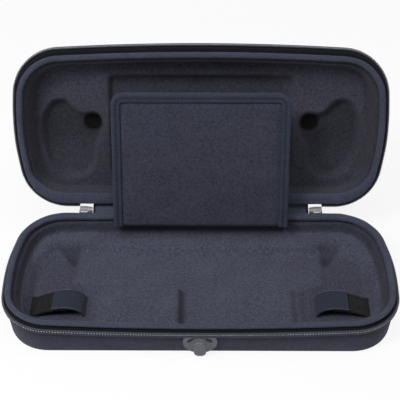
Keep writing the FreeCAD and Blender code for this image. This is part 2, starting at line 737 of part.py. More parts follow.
def make_strap(side, mirror):
    """Cloth strap, its inner end turned under and sewn down, closed on a hook-and-loop end by the wall."""
    inner = f"({STRAP_ACROSS} - sizes.strap_radius)"
    outer = f"({STRAP_ACROSS} + sizes.strap_radius)"
    split = f"({STRAP_ACROSS} + sizes.strap_split)"
    arch = make_arch(f"strap_{side}", mirror, "sizes.strap_radius", inner, split)
    span = "sqrt(sizes.strap_radius ^ 2 - (sizes.strap_radius - sizes.strap_rise) ^ 2)"
    foot = doc.addObject("Part::Box", f"strap_{side}_foot")
    foot.setExpression("Length", "sizes.strap_foot")
    foot.setExpression("Width", "sizes.strap_width")
    foot.setExpression("Height", "sizes.strap_thickness")
    near = f"({STRAP_ACROSS} - {span} + sizes.strap_thickness)"
    start = near if mirror > 0 else f"-({near} + sizes.strap_foot)"
    place(foot, x=start, y=f"-{STRAP_FORWARD} - sizes.strap_width / 2", z="sizes.basin_level")
    strap = doc.addObject("Part::Fuse", f"strap_{side}_whole")
    strap.Base, strap.Tool = arch, foot
    keep(strap, f"strap_{side}")
    under = "(sizes.strap_radius - sizes.strap_thickness - sizes.strap_gap)"
    lap = f"({STRAP_ACROSS} + sizes.strap_split - sizes.strap_lap)"
    keep(make_arch(f"strap_fastener_{side}", mirror, under, lap, outer), f"strap_fastener_{side}")


def make_hinge_strip():
    """Cloth strip from the seam on the base's rear wall to the lid's, as it lies with the lid open."""
    body = new_body("hinge_strip")
    section = new_sketch(body, "strip_section", plane="YZ_Plane")
    turn = "sizes.lid_open_angle"
    inner = f"({SEAM_INSET} - sizes.fit_clearance)"
    outer = f"({inner} - sizes.strip_thickness)"
    up = f"({LID_EDGE} + sizes.zip_drop)"
    points = []
    for inset in (inner, outer):
        points.append((f"sizes.case_depth / 2 - {inset}", f"{BASE_EDGE} - sizes.zip_drop"))
    for inset in (outer, inner):
        out = f"(sizes.hinge_setback + {inset})"
        y = f"{REAR_AXIS} - {out} * cos({turn}) + {up} * sin({turn})"
        z = f"{AXIS_HEIGHT} + {out} * sin({turn}) + {up} * cos({turn})"
        points.append((y, z))
    draw_polygon(section, points)
    pad(body, section, f"2 * ({ZIP_END} - sizes.strip_margin)", symmetric=True)


def slider_across(mirror):
    return f"{mirror} * ({ZIP_END} - sizes.fit_clearance - sizes.slider_length / 2)"


def make_slider(side, mirror):
    """Metal zip slider: two plates on a neck, with a headed post for its pull."""
    body = new_body(f"zip_slider_{side}")
    face = new_sketch(body, f"slider_{side}_face", plane="XZ_Plane")
    tail = "sizes.slider_tail / 2"
    mouth = "sizes.slider_mouth / 2"
    half = "sizes.slider_length / 2"
    inward, outward = (f"-{half}", half) if mirror > 0 else (half, f"-{half}")
    corners = [(inward, f"-{tail}"), ("0", f"-{mouth}"), (outward, f"-{mouth}")]
    corners += [(x, y[1:]) for x, y in reversed(corners)]
    draw_polygon(face, corners)
    block = pad(body, face, "sizes.slider_depth", symmetric=True)
    ends = number(half)
    upright = number("sizes.slider_depth")

    def chosen(edge):
        box = edge.BoundBox
        return close(box.YLength, upright) and close(abs(box.Center.x), ends)

    round_edges(body, block, "sizes.slider_plate", chosen)
    channel = new_sketch(body, f"slider_{side}_channel", plane="YZ_Plane")
    gap = "(sizes.slider_depth / 2 - sizes.slider_plate)"
    wide = "sizes.slider_mouth"
    neck = "(sizes.slider_plate / 2)"
    for low, high in ((neck, wide), (f"-{wide}", f"-{neck}")):
        draw_polygon(channel, [(f"-{gap}", low), (gap, low), (gap, high), (f"-{gap}", high)])
    pocket(body, channel, "2 * sizes.slider_length", symmetric=True)
    stand = "(sizes.pull_thickness + 2 * sizes.pull_clearance)"
    start = "(-sizes.slider_depth / 2)"
    post = new_sketch(body, f"slider_{side}_post", plane="XZ_Plane", lift=start)
    draw_circle(post, "0", "-sizes.post_drop", "sizes.post_radius")
    pad(body, post, stand, reverse=True)
    cap = new_sketch(body, f"slider_{side}_cap", plane="XZ_Plane", lift=f"{start} - {stand}")
    draw_circle(cap, "0", "-sizes.post_drop", "sizes.post_cap")
    pad(body, cap, "sizes.post_cap_thickness", reverse=True)
    place(body, x=slider_across(mirror), y=SLIDER_Y, z=SLIDER_Z)


def make_pull(side, mirror):
    """Flat metal pull that hangs from the slider's post and widens to its tip."""
    body = new_body(f"zip_pull_{side}")
    plate = new_sketch(body, f"pull_{side}_plate", plane="XZ_Plane")
    top, tip = "sizes.pull_half", "sizes.pull_tip_half"
    low = "-sizes.pull_length"
    draw_polygon(plate, [(f"-{top}", top), (f"-{tip}", low), (tip, low), (top, top)])
    tab = pad(body, plate, "sizes.pull_thickness", symmetric=True)
    thick = number("sizes.pull_thickness")
    round_edges(body, tab, "sizes.pull_round", lambda edge: close(edge.BoundBox.YLength, thick))
    eye = new_sketch(body, f"pull_{side}_eye", plane="XZ_Plane")
    draw_circle(eye, "0", "0", "sizes.post_radius + sizes.pull_clearance")
    half, end = "(sizes.pull_half / 2)", f"({low} + sizes.pull_half)"
    draw_polygon(
        eye,
        [
            (f"-{half}", end),
            (half, end),
            (half, f"{end} + sizes.pull_slot"),
            (f"-{half}", f"{end} + sizes.pull_slot"),
        ],
    )
    pocket(body, eye, "2 * sizes.pull_thickness", symmetric=True)
    y = f"{SLIDER_Y} + sizes.slider_depth / 2 + sizes.pull_clearance + sizes.pull_thickness / 2"
    place(body, x=slider_across(mirror), y=y, z=f"{SLIDER_Z} - sizes.post_drop")


def draw_crescent(sketch, sign):
    """A slot between two arcs on one centre, right of the middle or mirrored to the left."""
    start, end = "sizes.tab_slot_start_angle", "sizes.tab_slot_end_angle"
    centre = (0, -number("sizes.tab_slot_drop"))
    turns = [math.radians(number(start)), math.radians(number(end))]
    if sign:
        turns = [math.pi - turns[1], math.pi - turns[0]]
        start, end = end, start
    curves = []
    for name in ("tab_slot_inner", "tab_slot_outer"):
        curves.append(arc(sketch, centre, number(f"sizes.{name}"), *turns))
        bind(sketch, "Radius", curves[-1], f"sizes.{name}")
        for point, angle in ((1, start), (2, end)):
            bind(sketch, "DistanceX", -1, 1, curves[-1], point, f"{sign}sizes.{name} * cos({angle})")
            rise = f"sizes.{name} * sin({angle}) - sizes.tab_slot_drop"
            bind(sketch, "DistanceY", -1, 1, curves[-1], point, rise)
    for point in (1, 2):
        ends = [sketch.getPoint(curve, point) for curve in curves]
        side = line(sketch, *[(end.x, end.y) for end in ends])
        for number_at_line, curve in enumerate(curves, start=1):
            sketch.addConstraint(Sketcher.Constraint("Coincident", side, number_at_line, curve, point))


def make_grip_tab():
    """Rubber disc on the front wall, cut off below the zip, with two slots, a boss and a tongue."""
    body = new_body("grip_tab")
    disc = new_sketch(body, "tab_disc", plane="XZ_Plane")
    radius, drop = "sizes.tab_radius", "sizes.tab_centre_drop"
    tall, wide = number(drop), number(f"sqrt({radius} ^ 2 - {drop} ^ 2)")
    turn = math.atan2(tall, wide)
    round_part = arc(disc, (0, -tall), number(radius), math.pi - turn, 2 * math.pi + turn)
    top = line(disc, (wide, 0), (-wide, 0))
    disc.addConstraint(Sketcher.Constraint("Coincident", round_part, 2, top, 1))
    disc.addConstraint(Sketcher.Constraint("Coincident", round_part, 1, top, 2))
    disc.addConstraint(Sketcher.Constraint("PointOnObject", round_part, 3, -2))
    disc.addConstraint(Sketcher.Constraint("PointOnObject", top, 1, -1))
    disc.addConstraint(Sketcher.Constraint("Horizontal", top))
    bind(disc, "Radius", round_part, radius)
    bind(disc, "DistanceY", round_part, 3, -1, 1, drop)
    pad(body, disc, "sizes.tab_thickness")
    slots = new_sketch(body, "tab_slots", plane="XZ_Plane")
    for sign in ("", "-"):
        draw_crescent(slots, sign)
    pocket(body, slots, "sizes.tab_thickness", reverse=True)
    boss = new_sketch(body, "tab_boss", plane="XZ_Plane", lift="sizes.tab_thickness")
    draw_circle(boss, "0", "-sizes.boss_drop", "sizes.boss_radius")
    pad(body, boss, "sizes.boss_thickness")
    tongue = new_sketch(body, "tab_tongue", plane="XZ_Plane", lift="sizes.tab_thickness")
    end = "sizes.tongue_end_round"
    side = f"(sizes.tongue_half - {end})"
    low, head = f"({end} - sizes.tongue_reach)", "-sizes.boss_drop"
    draw_hull(tongue, [(side, low, end), (side, head, end), (f"-{side}", head, end), (f"-{side}", low, end)])
    bar = pad(body, tongue, "sizes.tongue_thickness")
    front = number("-(sizes.tab_thickness + sizes.tongue_thickness)")
    round_edges(body, bar, "sizes.tongue_round", lambda edge: close(edge.BoundBox.YMax, front))
    wall = f"-(sizes.case_depth / 2 - {SEAM_INSET} + sizes.fit_clearance)"
    place(body, y=wall, z=f"{BASE_EDGE} - sizes.zip_drop", tilt="-sizes.shell_draft_angle")


def make_base():
    make_shell("base_shell", BASE_EDGE, "0", BASE_EDGE, True, "0", "sizes.shell_floor")
    make_base_liner()
    make_lip("base_lip", "sizes.base_height", BASE_EDGE, "0", False)
    make_zip_half("base", BASE_EDGE, "0", False)
    make_grip_tab()
    for side, mirror in (("left", -1), ("right", 1)):
        make_strap(side, mirror)
        make_slider(side, mirror)
        make_pull(side, mirror)
    make_hinge_strip()
    make_flap_tape()


def make_lid():
    shift = f"-{REAR_AXIS}"
    depth = "(sizes.lid_height - sizes.rim_drop)"
    end = f"{LID_RIM} + sizes.lid_height"
    shell = make_shell("lid_shell", LID_EDGE, shift, depth, False, end, f"{end} - sizes.shell_floor")
    lip = make_lip("lid_lip", LID_RIM, LID_EDGE, shift, True)
    tape, coil = make_zip_half("lid", LID_EDGE, shift, True)
    for piece in (shell, lip, tape, coil):
        place_on_lid(piece)
    make_lid_liner(shift)


make_base()
make_lid()
make_flap()
doc.recompute()

for entry in doc.Objects:
    if "Invalid" in entry.State or "Error" in entry.State:
        raise RuntimeError(f"{entry.Name} failed: {entry.State}")
os.makedirs("parts", exist_ok=True)
for piece in pieces:
    if piece.Shape.isNull() or not piece.Shape.isValid():
        raise RuntimeError(f"{piece.Label} has no valid shape")
for piece in pieces:
    piece.Shape.exportStep(f"parts/{piece.Label}.step")
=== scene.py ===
"""Looks of the open storage case: moulded foam, cloth, zip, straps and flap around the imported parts.

Lengths are written in millimetres and become metres where a mesh is made.
"""
import math

import bmesh
import bpy
import numpy as np
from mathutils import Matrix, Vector, noise
from mathutils.geometry import delaunay_2d_cdt


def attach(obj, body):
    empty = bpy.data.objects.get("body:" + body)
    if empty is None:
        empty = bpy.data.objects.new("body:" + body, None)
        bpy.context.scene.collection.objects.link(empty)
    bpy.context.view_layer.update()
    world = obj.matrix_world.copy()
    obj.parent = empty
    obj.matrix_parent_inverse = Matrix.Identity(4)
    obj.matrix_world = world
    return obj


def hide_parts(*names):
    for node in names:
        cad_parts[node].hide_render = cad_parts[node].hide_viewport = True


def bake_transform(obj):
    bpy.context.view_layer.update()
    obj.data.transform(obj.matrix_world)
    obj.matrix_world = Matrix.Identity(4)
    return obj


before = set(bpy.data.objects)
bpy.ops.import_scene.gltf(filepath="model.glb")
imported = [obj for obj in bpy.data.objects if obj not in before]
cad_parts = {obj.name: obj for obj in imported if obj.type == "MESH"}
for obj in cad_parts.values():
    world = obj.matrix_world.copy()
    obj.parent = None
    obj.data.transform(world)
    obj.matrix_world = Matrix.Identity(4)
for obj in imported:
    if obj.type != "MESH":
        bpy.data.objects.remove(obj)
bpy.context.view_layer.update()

MM = 0.001

# Plan outline, as in the part's source: its size, its radii, and how far forward of the middle it is widest.
WIDTH, DEPTH = 312.0, 139.0
REAR_R, FRONT_R, SIDE_R, BOW_R = 39.0, 41.0, 250.0, 2050.0
WIDEST = 7.0

# How much fuller the cloth makes the sides, where it does so most, and its reach.
FULLER, FULLEST_AT, FULLER_REACH = 0.9, 15, 30

# Heights of the rims and of the shells' edges beside them. The shut lid's are from its hinge line.
BASE_TOP, BASE_EDGE = 29.0, 24.5
LID_RIM, LID_EDGE, LID_HEIGHT = 0.3, 4.8, 33.0
AXIS_Y, AXIS_Z = DEPTH / 2 + 0.9, BASE_TOP + 0.3
OPEN_ANGLE = math.radians(110.0)

# The shells, the zip's seam and coil below their edges, and where the zip ends.
SHELL_INSET, SHELL_DRAFT = 2.8, math.radians(5.5)
SEAM_DROP, COIL_DROP = 4.5, 1.0
ZIP_END = 104.0

# The flap's hinge line as (y, z), its lean and its sizes.
FLAP_AXIS, FLAP_LEAN = (55.2, 27.0), math.radians(23.0)
FLAP_HALF, FLAP_LENGTH, FLAP_THICK, FLAP_CORNER = 73.0, 110.5, 7.0, 10.5
BINDING_WIDE, FLAP_FOOT = 7.8, -1.5


# Plan outline

def corner_centre(side_centre, front_centre):
    """Centre of the front corner's arc, which touches the side's arc and the front's from inside."""
    near, far = SIDE_R - FRONT_R, BOW_R - FRONT_R
    gap = np.subtract(front_centre, side_centre)
    apart = np.hypot(*gap)
    step = (near**2 - far**2 + apart**2) / (2 * apart)
    side = math.sqrt(near**2 - step**2)
    across, along = gap / apart
    return side_centre[0] + across * step + along * side, side_centre[1] + along * step - across * side


def outline():
    """Points clockwise from the middle of the rear, their inward normals and distances along the line."""
    half, depth = WIDTH / 2, DEPTH / 2
    side = (half - SIDE_R, -WIDEST)
    front = (0.0, BOW_R - depth)
    drop = depth - REAR_R - side[1]
    rear = (side[0] + math.sqrt((SIDE_R - REAR_R) ** 2 - drop**2), depth - REAR_R)
    corner = corner_centre(side, front)
    turns = [math.pi / 2]
    for one, other in ((side, rear), (side, corner), (front, corner)):
        turns.append(math.atan2(other[1] - one[1], other[0] - one[0]))
    turns.append(-math.pi / 2)
    rear_count, corner_count, side_count, front_count = 45, 44, 34, 60
    places = [(x, depth, 0.0, -1.0) for x in np.linspace(0, rear[0], rear_count)[:-1]]
    arcs = ((rear, REAR_R, corner_count), (side, SIDE_R, side_count))
    arcs += ((corner, FRONT_R, corner_count), (front, BOW_R, front_count))
    for (centre, radius, count), start, end in zip(arcs, turns, turns[1:]):
        for angle in np.linspace(start, end, count)[:-1]:
            c, s = math.cos(angle), math.sin(angle)
            places.append((centre[0] + radius * c, centre[1] + radius * s, -c, -s))
    right = np.array(places + [(0.0, -depth, 0.0, 1.0)])
    left = right[-2:0:-1] * np.array([-1, 1, -1, 1])
    whole = np.vstack([right, left])
    fuller = FULLER * np.exp(-(((whole[:, 1] - FULLEST_AT) / FULLER_REACH) ** 2)) * whole[:, 2] ** 2
    whole[:, :2] -= whole[:, 2:] * fuller[:, None]
    steps = np.diff(np.vstack([whole, whole[:1]])[:, :2], axis=0)
    return whole[:, :2], whole[:, 2:], np.concatenate([[0], np.cumsum(np.hypot(*steps.T))])


def smooth(value):
    """A value held between 0 and 1 and eased at both ends."""
    value = np.clip(value, 0, 1)
    return value * value * (3 - 2 * value)


EDGE, INWARD, ALONG = outline()

# How much each point of the outline belongs to the front, to the rear half and to the rear wall.
FRONTAL = np.clip(INWARD[:, 1], 0, 1) ** 1.5
REAR_FROM, REAR_FADE = 25, 35
REARMOST = smooth((EDGE[:, 1] - REAR_FROM) / REAR_FADE)
REAR_WALL = REARMOST * np.clip(-INWARD[:, 1], 0, 1)


def ring(inset):
    return EDGE + INWARD * np.broadcast_to(inset, len(EDGE))[:, None]


def joined(points, value):
    """Points with one more coordinate: one value for all, or one for each."""
    return np.column_stack([points, np.broadcast_to(value, len(points))])


def inside(x, y, polygon):
    """Whether plan places lie in a closed polygon."""
    found = np.zeros(np.shape(x), bool)
    for (x0, y0), (x1, y1) in zip(polygon, np.roll(polygon, -1, axis=0)):
        if y0 != y1:
            found ^= ((y0 > y) != (y1 > y)) & (x < (x1 - x0) * (y - y0) / (y1 - y0) + x0)
    return found


def depth_inside(points, line):
    """How far inside a closed line each plan point lies, below zero outside it."""
    best = np.full(len(points), 1e9)
    for start, end in zip(line, np.roll(line, -1, axis=0)):
        along = end - start
        t = np.clip(((points - start) @ along) / (along @ along), 0, 1)
        best = np.minimum(best, np.hypot(*(points - start - t[:, None] * along).T))
    return np.where(inside(*points.T, line), best, -best)


# Frames of the lid and the flap

def turn_lid(points):
    """Points of the shut lid, with heights from the hinge line, as they lie when it stands open."""
    c, s = math.cos(OPEN_ANGLE), math.sin(OPEN_ANGLE)
    reach, rise = AXIS_Y - points[..., 1], points[..., 2]
    y = AXIS_Y - reach * c + rise * s
    z = AXIS_Z + reach * s + rise * c
    return np.stack([points[..., 0], y, z], axis=-1)


def turn_flap(points):
    """Points given across the flap, along it from its hinge line, and through it towards the front."""
    c, s = math.cos(FLAP_LEAN), math.sin(FLAP_LEAN)
    y = FLAP_AXIS[0] + points[..., 1] * s - points[..., 2] * c
    z = FLAP_AXIS[1] + points[..., 1] * c + points[..., 2] * s
    return np.stack([points[..., 0], y, z], axis=-1)


# Meshes

def add_object(name, data):
    made = bpy.data.objects.new(name, data)
    bpy.context.scene.collection.objects.link(made)
    return made


def build(name, points, faces, material, uv=None, shade=None):
    """A smooth mesh object. uv holds a pair of millimetres along the cloth for each face corner.

    shade is the painted light and shade of the cloth at each point.
    """
    mesh = bpy.data.meshes.new(name)
    mesh.from_pydata((points.reshape(-1, 3) * MM).tolist(), [], faces)
    if uv is not None:
        layer = mesh.uv_layers.new(name="cloth")
        layer.data.foreach_set("uv", np.asarray(uv, np.float32).ravel())
    if shade is not None:
        tones = mesh.attributes.new("shade", "FLOAT", "POINT")
        tones.data.foreach_set("value", np.asarray(shade, np.float32))
    mesh.shade_smooth()
    mesh.materials.append(material)
    return add_object(name, mesh)


def lattice(points, wrap_along=False, wrap_across=False):
    """Faces and cloth coordinates of points[i][j], i along the piece and j across it."""
    n, m = points.shape[:2]
    along = np.linalg.norm(np.diff(points, axis=0, append=points[:1]), axis=2).mean(1)
    across = np.linalg.norm(np.diff(points, axis=1, append=points[:, :1]), axis=2).mean(0)
    u = np.concatenate([[0], np.cumsum(along)])
    v = np.concatenate([[0], np.cumsum(across)])
    rows = np.arange(n if wrap_along else n - 1)
    columns = np.arange(m if wrap_across else m - 1)
    i, j = np.meshgrid(rows, columns, indexing="ij")
    corners = [(i, j), (i + 1, j), (i + 1, j + 1), (i, j + 1)]
    faces = np.stack([(a % n) * m + b % m for a, b in corners], axis=-1).reshape(-1, 4)
    uv = np.stack([np.stack([u[a], v[b]], axis=-1) for a, b in corners], axis=-2).reshape(-1, 2)
    return faces.tolist(), uv


def face_outwards(made, weld=None):
    """Turn a mesh's faces outwards, after joining points that lie closer than the given distance."""
    mesh = bmesh.new()
    mesh.from_mesh(made.data)
    if weld is not None:
        bmesh.ops.remove_doubles(mesh, verts=mesh.verts, dist=weld * MM)
    bmesh.ops.recalc_face_normals(mesh, faces=mesh.faces)
    mesh.to_mesh(made.data)
    mesh.free()
    return made


def sweep(name, profile, material, span=None, closed=False, lid=False, cap=False, wobble=None, drift=0.0,
          tone=None):
    """Carry a profile of (inset, height) pairs round the outline, or along the zip only.

    drift is added to the insets along the outline. A third value in a pair is its share of that. tone is the
    painted light and shade along the profile.
    """
    keep = slice(None)
    if span is not None:
        keep = (ALONG[:-1] > span) & (ALONG[:-1] < ALONG[-1] - span)
    edge, inward = EDGE[keep], INWARD[keep]
    points = np.empty((len(edge), len(profile), 3))
    extra = np.broadcast_to(drift, len(EDGE))[keep]
    for column, (inset, height, *share) in enumerate(profile):
        moved = inset + extra * (share[0] if share else 1.0)
        points[:, column, :2] = edge + inward * moved[:, None]
        points[:, column, 2] = height
    if span is not None:
        for end in (0, -1):
            points[end, :, 0] = math.copysign(span, points[end, 0, 0])
    if wobble is not None:
        points = wobble(points)
    faces, uv = lattice(points, span is None, closed)
    if lid:
        points = turn_lid(points)
    if cap:
        faces.append([row * len(profile) + len(profile) - 1 for row in range(len(points))])
        uv = np.vstack([uv, ring(profile[-1][0])])
    shade = None if tone is None else np.tile(tone, len(points))
    return face_outwards(build(name, points, faces, material, uv, shade))


SEED_STEP = (7.1, 3.3, 5.7)


def soft_noise(points, size, seed):
    """A smooth random value for each point, in steps of about the given size."""
    shift = Vector([seed * step for step in SEED_STEP])
    values = [noise.noise(Vector(p) / size + shift) for p in points.reshape(-1, 3)]
    return np.reshape(values, points.shape[:-1])


def unit(vectors):
    vectors = np.asarray(vectors, float)
    return vectors / np.linalg.norm(vectors, axis=-1, keepdims=True)


def path_length(path):
    return np.linalg.norm(np.diff(path, axis=0), axis=1).sum()


def thread(name, places, tangents, ups, size, material):
    """Many small rounded beads: stitches or teeth. size is half lengths along, across and up."""
    template = bmesh.new()
    bmesh.ops.create_uvsphere(template, u_segments=8, v_segments=6, radius=1.0)
    shape = np.array([v.co for v in template.verts])
    fullness = 0.7
    shape = np.sign(shape) * np.abs(shape) ** fullness
    loops = [[v.index for v in f.verts] for f in template.faces]
    template.free()
    axes = np.stack([tangents * size[0], np.cross(ups, tangents) * size[1], ups * size[2]], axis=1)
    points = places[:, None] + shape @ axes
    firsts = range(0, len(places) * len(shape), len(shape))
    faces = [[first + k for k in loop] for first in firsts for loop in loops]
    return build(name, points, faces, material)


def stitch(name, path, up, pitch, length, radius, material):
    """Stitches along a path of points, with a gap after each one."""
    path = np.asarray(path, float)
    steps = np.concatenate([[0], np.cumsum(np.linalg.norm(np.diff(path, axis=0), axis=1))])
    at = np.arange(pitch / 2, steps[-1], pitch)
    ups = np.broadcast_to(unit(up), path.shape)

    def value(rows, where):
        return np.stack([np.interp(where, steps, rows[:, k]) for k in range(3)], axis=1)

    reach = 0.3
    tangents = unit(value(path, at + reach) - value(path, at - reach))
    normals = unit(value(ups, at))
    return thread(name, value(path, at), tangents, normals, (length / 2, radius, radius), material)


# Attaching pieces

def assign(made, body, slot, *nodes):
    """Say what a piece rides on and hide the nodes that it stands for. slot is not used."""
    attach(made, body)
    if nodes:
        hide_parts(*nodes)


# Materials

WHITE = (1, 1, 1, 1)

# Noise scales of a cloth's fibres and of its larger patches, and how a pattern is drawn out into streaks.
FIBRE_SCALE, PATCH_SCALE, STREAK_SCALE = 560.0, 55.0, (0.35, 2.4, 1.0)

# Shares of the weave and the patches in a cloth's tone, and of the weave and the fibres in its relief.
WEAVE_TONE, PATCH_TONE = 0.15, 0.45
WEAVE_RELIEF, FIBRE_RELIEF = 0.4, 0.6


class Graph:
    """A node tree, with short ways to add nodes."""

    def __init__(self, owner):
        owner.use_nodes = True
        self.tree = owner.node_tree

    def add(self, kind, links=None, **settings):
        node = self.tree.nodes.new(kind)
        for key, value in settings.items():
            socket = key.replace("_", " ")
            if socket in node.inputs:
                node.inputs[socket].default_value = value
            else:
                setattr(node, key, value)
        for key, source in (links or {}).items():
            self.tree.links.new(source, node.inputs[key])
        return node

    def math(self, operation, *values):
        node = self.add("ShaderNodeMath", operation=operation)
        for socket, value in zip(node.inputs, values):
            if isinstance(value, (int, float)):
                socket.default_value = value
            else:
                self.tree.links.new(value, socket)
        return node.outputs[0]

    def background_rays(self):
        """1 for what the camera, a reflection or glass sees, and 0 for the light on the object."""
        rays = self.add("ShaderNodeLightPath").outputs
        seen = self.math("MAXIMUM", rays["Is Camera Ray"], rays["Is Glossy Ray"])
        return self.math("MAXIMUM", seen, rays["Is Transmission Ray"])


class Surface(Graph):
    """A material, with short ways to set its shader."""

    def __init__(self, name, **sockets):
        self.material = bpy.data.materials.new(name)
        super().__init__(self.material)
        self.shader = self.tree.nodes["Principled BSDF"]
        for socket, value in sockets.items():
            self.shader.inputs[socket.replace("_", " ")].default_value = value

    def noise(self, vector, scale, detail=2.0, roughness=0.5):
        settings = {"Scale": scale, "Detail": detail, "Roughness": roughness}
        return self.add("ShaderNodeTexNoise", {"Vector": vector}, **settings).outputs["Fac"]

    def ramp(self, factor, stops):
        node = self.add("ShaderNodeValToRGB", {"Fac": factor})
        ramp = node.color_ramp
        while len(ramp.elements) < len(stops):
            ramp.elements.new(0.5)
        for element, (place, colour) in zip(ramp.elements, stops):
            element.position = place
            element.color = (*colour, 1.0)
        return node.outputs["Color"]

    def shades(self, factor, colour, contrast, low, high):
        """A colour that grows lighter with a factor, between two values of it."""
        levels = ((low, 1 - contrast), (0.5, 1.0), (high, 1 + contrast))
        return self.ramp(factor, [(place, [c * level for c in colour]) for place, level in levels])

    def bump(self, height, distance):
        node = self.add("ShaderNodeBump", {"Height": height}, Distance=distance, Strength=1.0)
        self.drive("Normal", node.outputs["Normal"])

    def drive(self, socket, source):
        self.tree.links.new(source, self.shader.inputs[socket])

    def roughness(self, factor, low, high):
        node = self.add("ShaderNodeMapRange", {"Value": factor}, To_Min=low, To_Max=high)
        self.drive("Roughness", node.outputs[0])


def cloth(name, colour, pitch, fuzz=1.0, depth=0.10, sheen=0.06, streak=0.0, contrast=0.5, gloss=0.12,
          shaded=False):
    """Woven or knitted cloth. pitch is the thread spacing along and across, in millimetres.

    A shaded cloth's colour is also scaled by the painted light and shade that its mesh holds.
    """
    graph = Surface(name, Sheen_Weight=sheen, Sheen_Roughness=0.6, Specular_IOR_Level=gloss)
    uv = graph.add("ShaderNodeUVMap", uv_map="cloth").outputs["UV"]
    directions = graph.add("ShaderNodeSeparateXYZ", {"Vector": uv}).outputs
    waves = []
    for direction, spacing in zip(directions, pitch):
        waves.append(graph.math("SINE", graph.math("MULTIPLY", direction, math.pi / spacing)))
    weave = graph.math("MULTIPLY", *waves)
    place = graph.add("ShaderNodeTexCoord").outputs["Object"]
    fibres = graph.noise(place, FIBRE_SCALE, 3.0, 0.7)
    patches = graph.noise(place, PATCH_SCALE, 3.0, 0.6)
    squeezed = graph.add("ShaderNodeMapping", {"Vector": uv}, Scale=STREAK_SCALE)
    lines = graph.noise(squeezed.outputs[0], 1.0, 2.0, 0.6)
    shade = graph.math("MULTIPLY", weave, WEAVE_TONE)
    for source, share in ((fibres, fuzz), (patches, PATCH_TONE), (lines, streak)):
        if share:
            centred = graph.math("SUBTRACT", source, 0.5)
            shade = graph.math("ADD", shade, graph.math("MULTIPLY", centred, share))
    shade = graph.math("ADD", shade, 0.5)
    tone = graph.shades(shade, colour, contrast, 0.1, 0.9)
    if shaded:
        # Painted light and shade, held on the mesh as its shade attribute.
        level = graph.add("ShaderNodeAttribute", attribute_name="shade").outputs["Fac"]
        tone = graph.add("ShaderNodeVectorMath", {0: tone, 1: level}, operation="MULTIPLY").outputs[0]
    graph.drive("Base Color", tone)
    graph.roughness(fibres, 0.8, 0.98)
    woven = graph.math("MULTIPLY", weave, WEAVE_RELIEF)
    height = graph.math("ADD", woven, graph.math("MULTIPLY", fibres, FIBRE_RELIEF * fuzz))
    graph.bump(height, depth * MM)
    return graph.material


def plain(name, colour, rough, scale, depth, contrast=0.15, metallic=0.0):
    """Moulded or plated material with a fine grain and slight changes of colour."""
    graph = Surface(name, Metallic=metallic)
    place = graph.add("ShaderNodeTexCoord").outputs["Object"]
    grain = graph.noise(place, scale, 3.0, 0.6)
    patches = graph.noise(place, scale / 12, 2.0, 0.5)
    halves = [graph.math("MULTIPLY", source, 0.5) for source in (grain, patches)]
    tone = graph.shades(graph.math("ADD", *halves), colour, contrast, 0.25, 0.75)
    graph.drive("Base Color", tone)
    graph.roughness(grain, *rough)
    graph.bump(grain, depth * MM)
    return graph.material


SHELL = cloth("shell_cloth", (0.038, 0.038, 0.063), (0.55, 0.55), fuzz=1.3, streak=0.25, shaded=True)
LINER = cloth("liner_cloth", (0.0525, 0.0545, 0.081), (0.9, 0.6), fuzz=1.9, streak=0.5, shaded=True)
# The liner cloth again, drawn darker for the lid's lining: painted shade.
LINER_SHADED_COPY = cloth("liner_cloth_shaded_copy", (0.034, 0.034, 0.049), (0.9, 0.6), fuzz=1.9, streak=0.5, shaded=True)
LIP = cloth("lip_cloth", (0.0425, 0.0475, 0.075), (0.6, 0.6), fuzz=1.2, sheen=0.08)
TAPE = cloth("zip_tape_cloth", (0.036, 0.040, 0.056), (0.5, 0.9), fuzz=0.6, depth=0.14)
STRIP = cloth("hinge_cloth", (0.062, 0.068, 0.098), (0.8, 0.8), fuzz=0.6, depth=0.16, shaded=True)
FLAP = cloth("flap_cloth", (0.031, 0.033, 0.051), (0.7, 0.7), fuzz=1.9, streak=0.4)
BINDING = cloth("binding_cloth", (0.0275, 0.033, 0.0545), (0.5, 0.5), fuzz=0.9, shaded=True)
WEBBING = cloth("strap_webbing", (0.0107, 0.0143, 0.0273), (0.5, 0.8), fuzz=0.5, depth=0.12, gloss=0.3)
PILE = cloth("hook_pile", (0.0055, 0.0055, 0.0065), (1.3, 1.3), fuzz=3.0, depth=0.5, contrast=0.9)
CORD = plain("coil_nylon", (0.020, 0.023, 0.036), (0.45, 0.6), 900.0, 0.03)
# Near-white colour of the beads that paint the coil's glints: a painted highlight.
COIL_GLINT_PAINT = plain("painted_coil_glints", (0.88, 0.89, 0.92), (0.15, 0.25), 900.0, 0.02)
THREAD = plain("thread", (0.006, 0.008, 0.014), (0.5, 0.7), 2500.0, 0.05)
PALE_THREAD = plain("pale_thread", (0.075, 0.085, 0.12), (0.5, 0.7), 2500.0, 0.05)
RUBBER = plain("tab_rubber", (0.090, 0.092, 0.113), (0.5, 0.68), 1100.0, 0.05)
METAL = plain("zip_metal", (0.62, 0.62, 0.64), (0.34, 0.46), 700.0, 0.01, contrast=0.06, metallic=0.75)


# Shells, lips and zip

# The lid's lip and lining lie further in at the front and a little at the sides.
LID_FRONT_IN, LID_SIDE_IN = 3.0, 1.1
LID_DRIFT = LID_FRONT_IN * FRONTAL + LID_SIDE_IN * (1 - FRONTAL) * (1 - REARMOST)

# The base's foot spreads towards its front corners.
FOOT_DIVISOR = 4100
FOOT_SPREAD = EDGE[:, 0] ** 2 / FOOT_DIVISOR * np.clip(INWARD[:, 1], 0, 1) ** 2

# The shells' closed edge, and how light their cloth is drawn from the zip to the closed end: painted shade
# in the groove by the zip and below it, and painted light towards the closed end.
SHELL_EDGE_R = 1.4
SHELL_DOWN, SHELL_PAINTED_SHADE_AND_LIGHT = [0.0, 0.02, 0.15, 0.3, 0.6, 1.0], [0.12, 0.2, 0.55, 0.68, 0.98, 1.15]

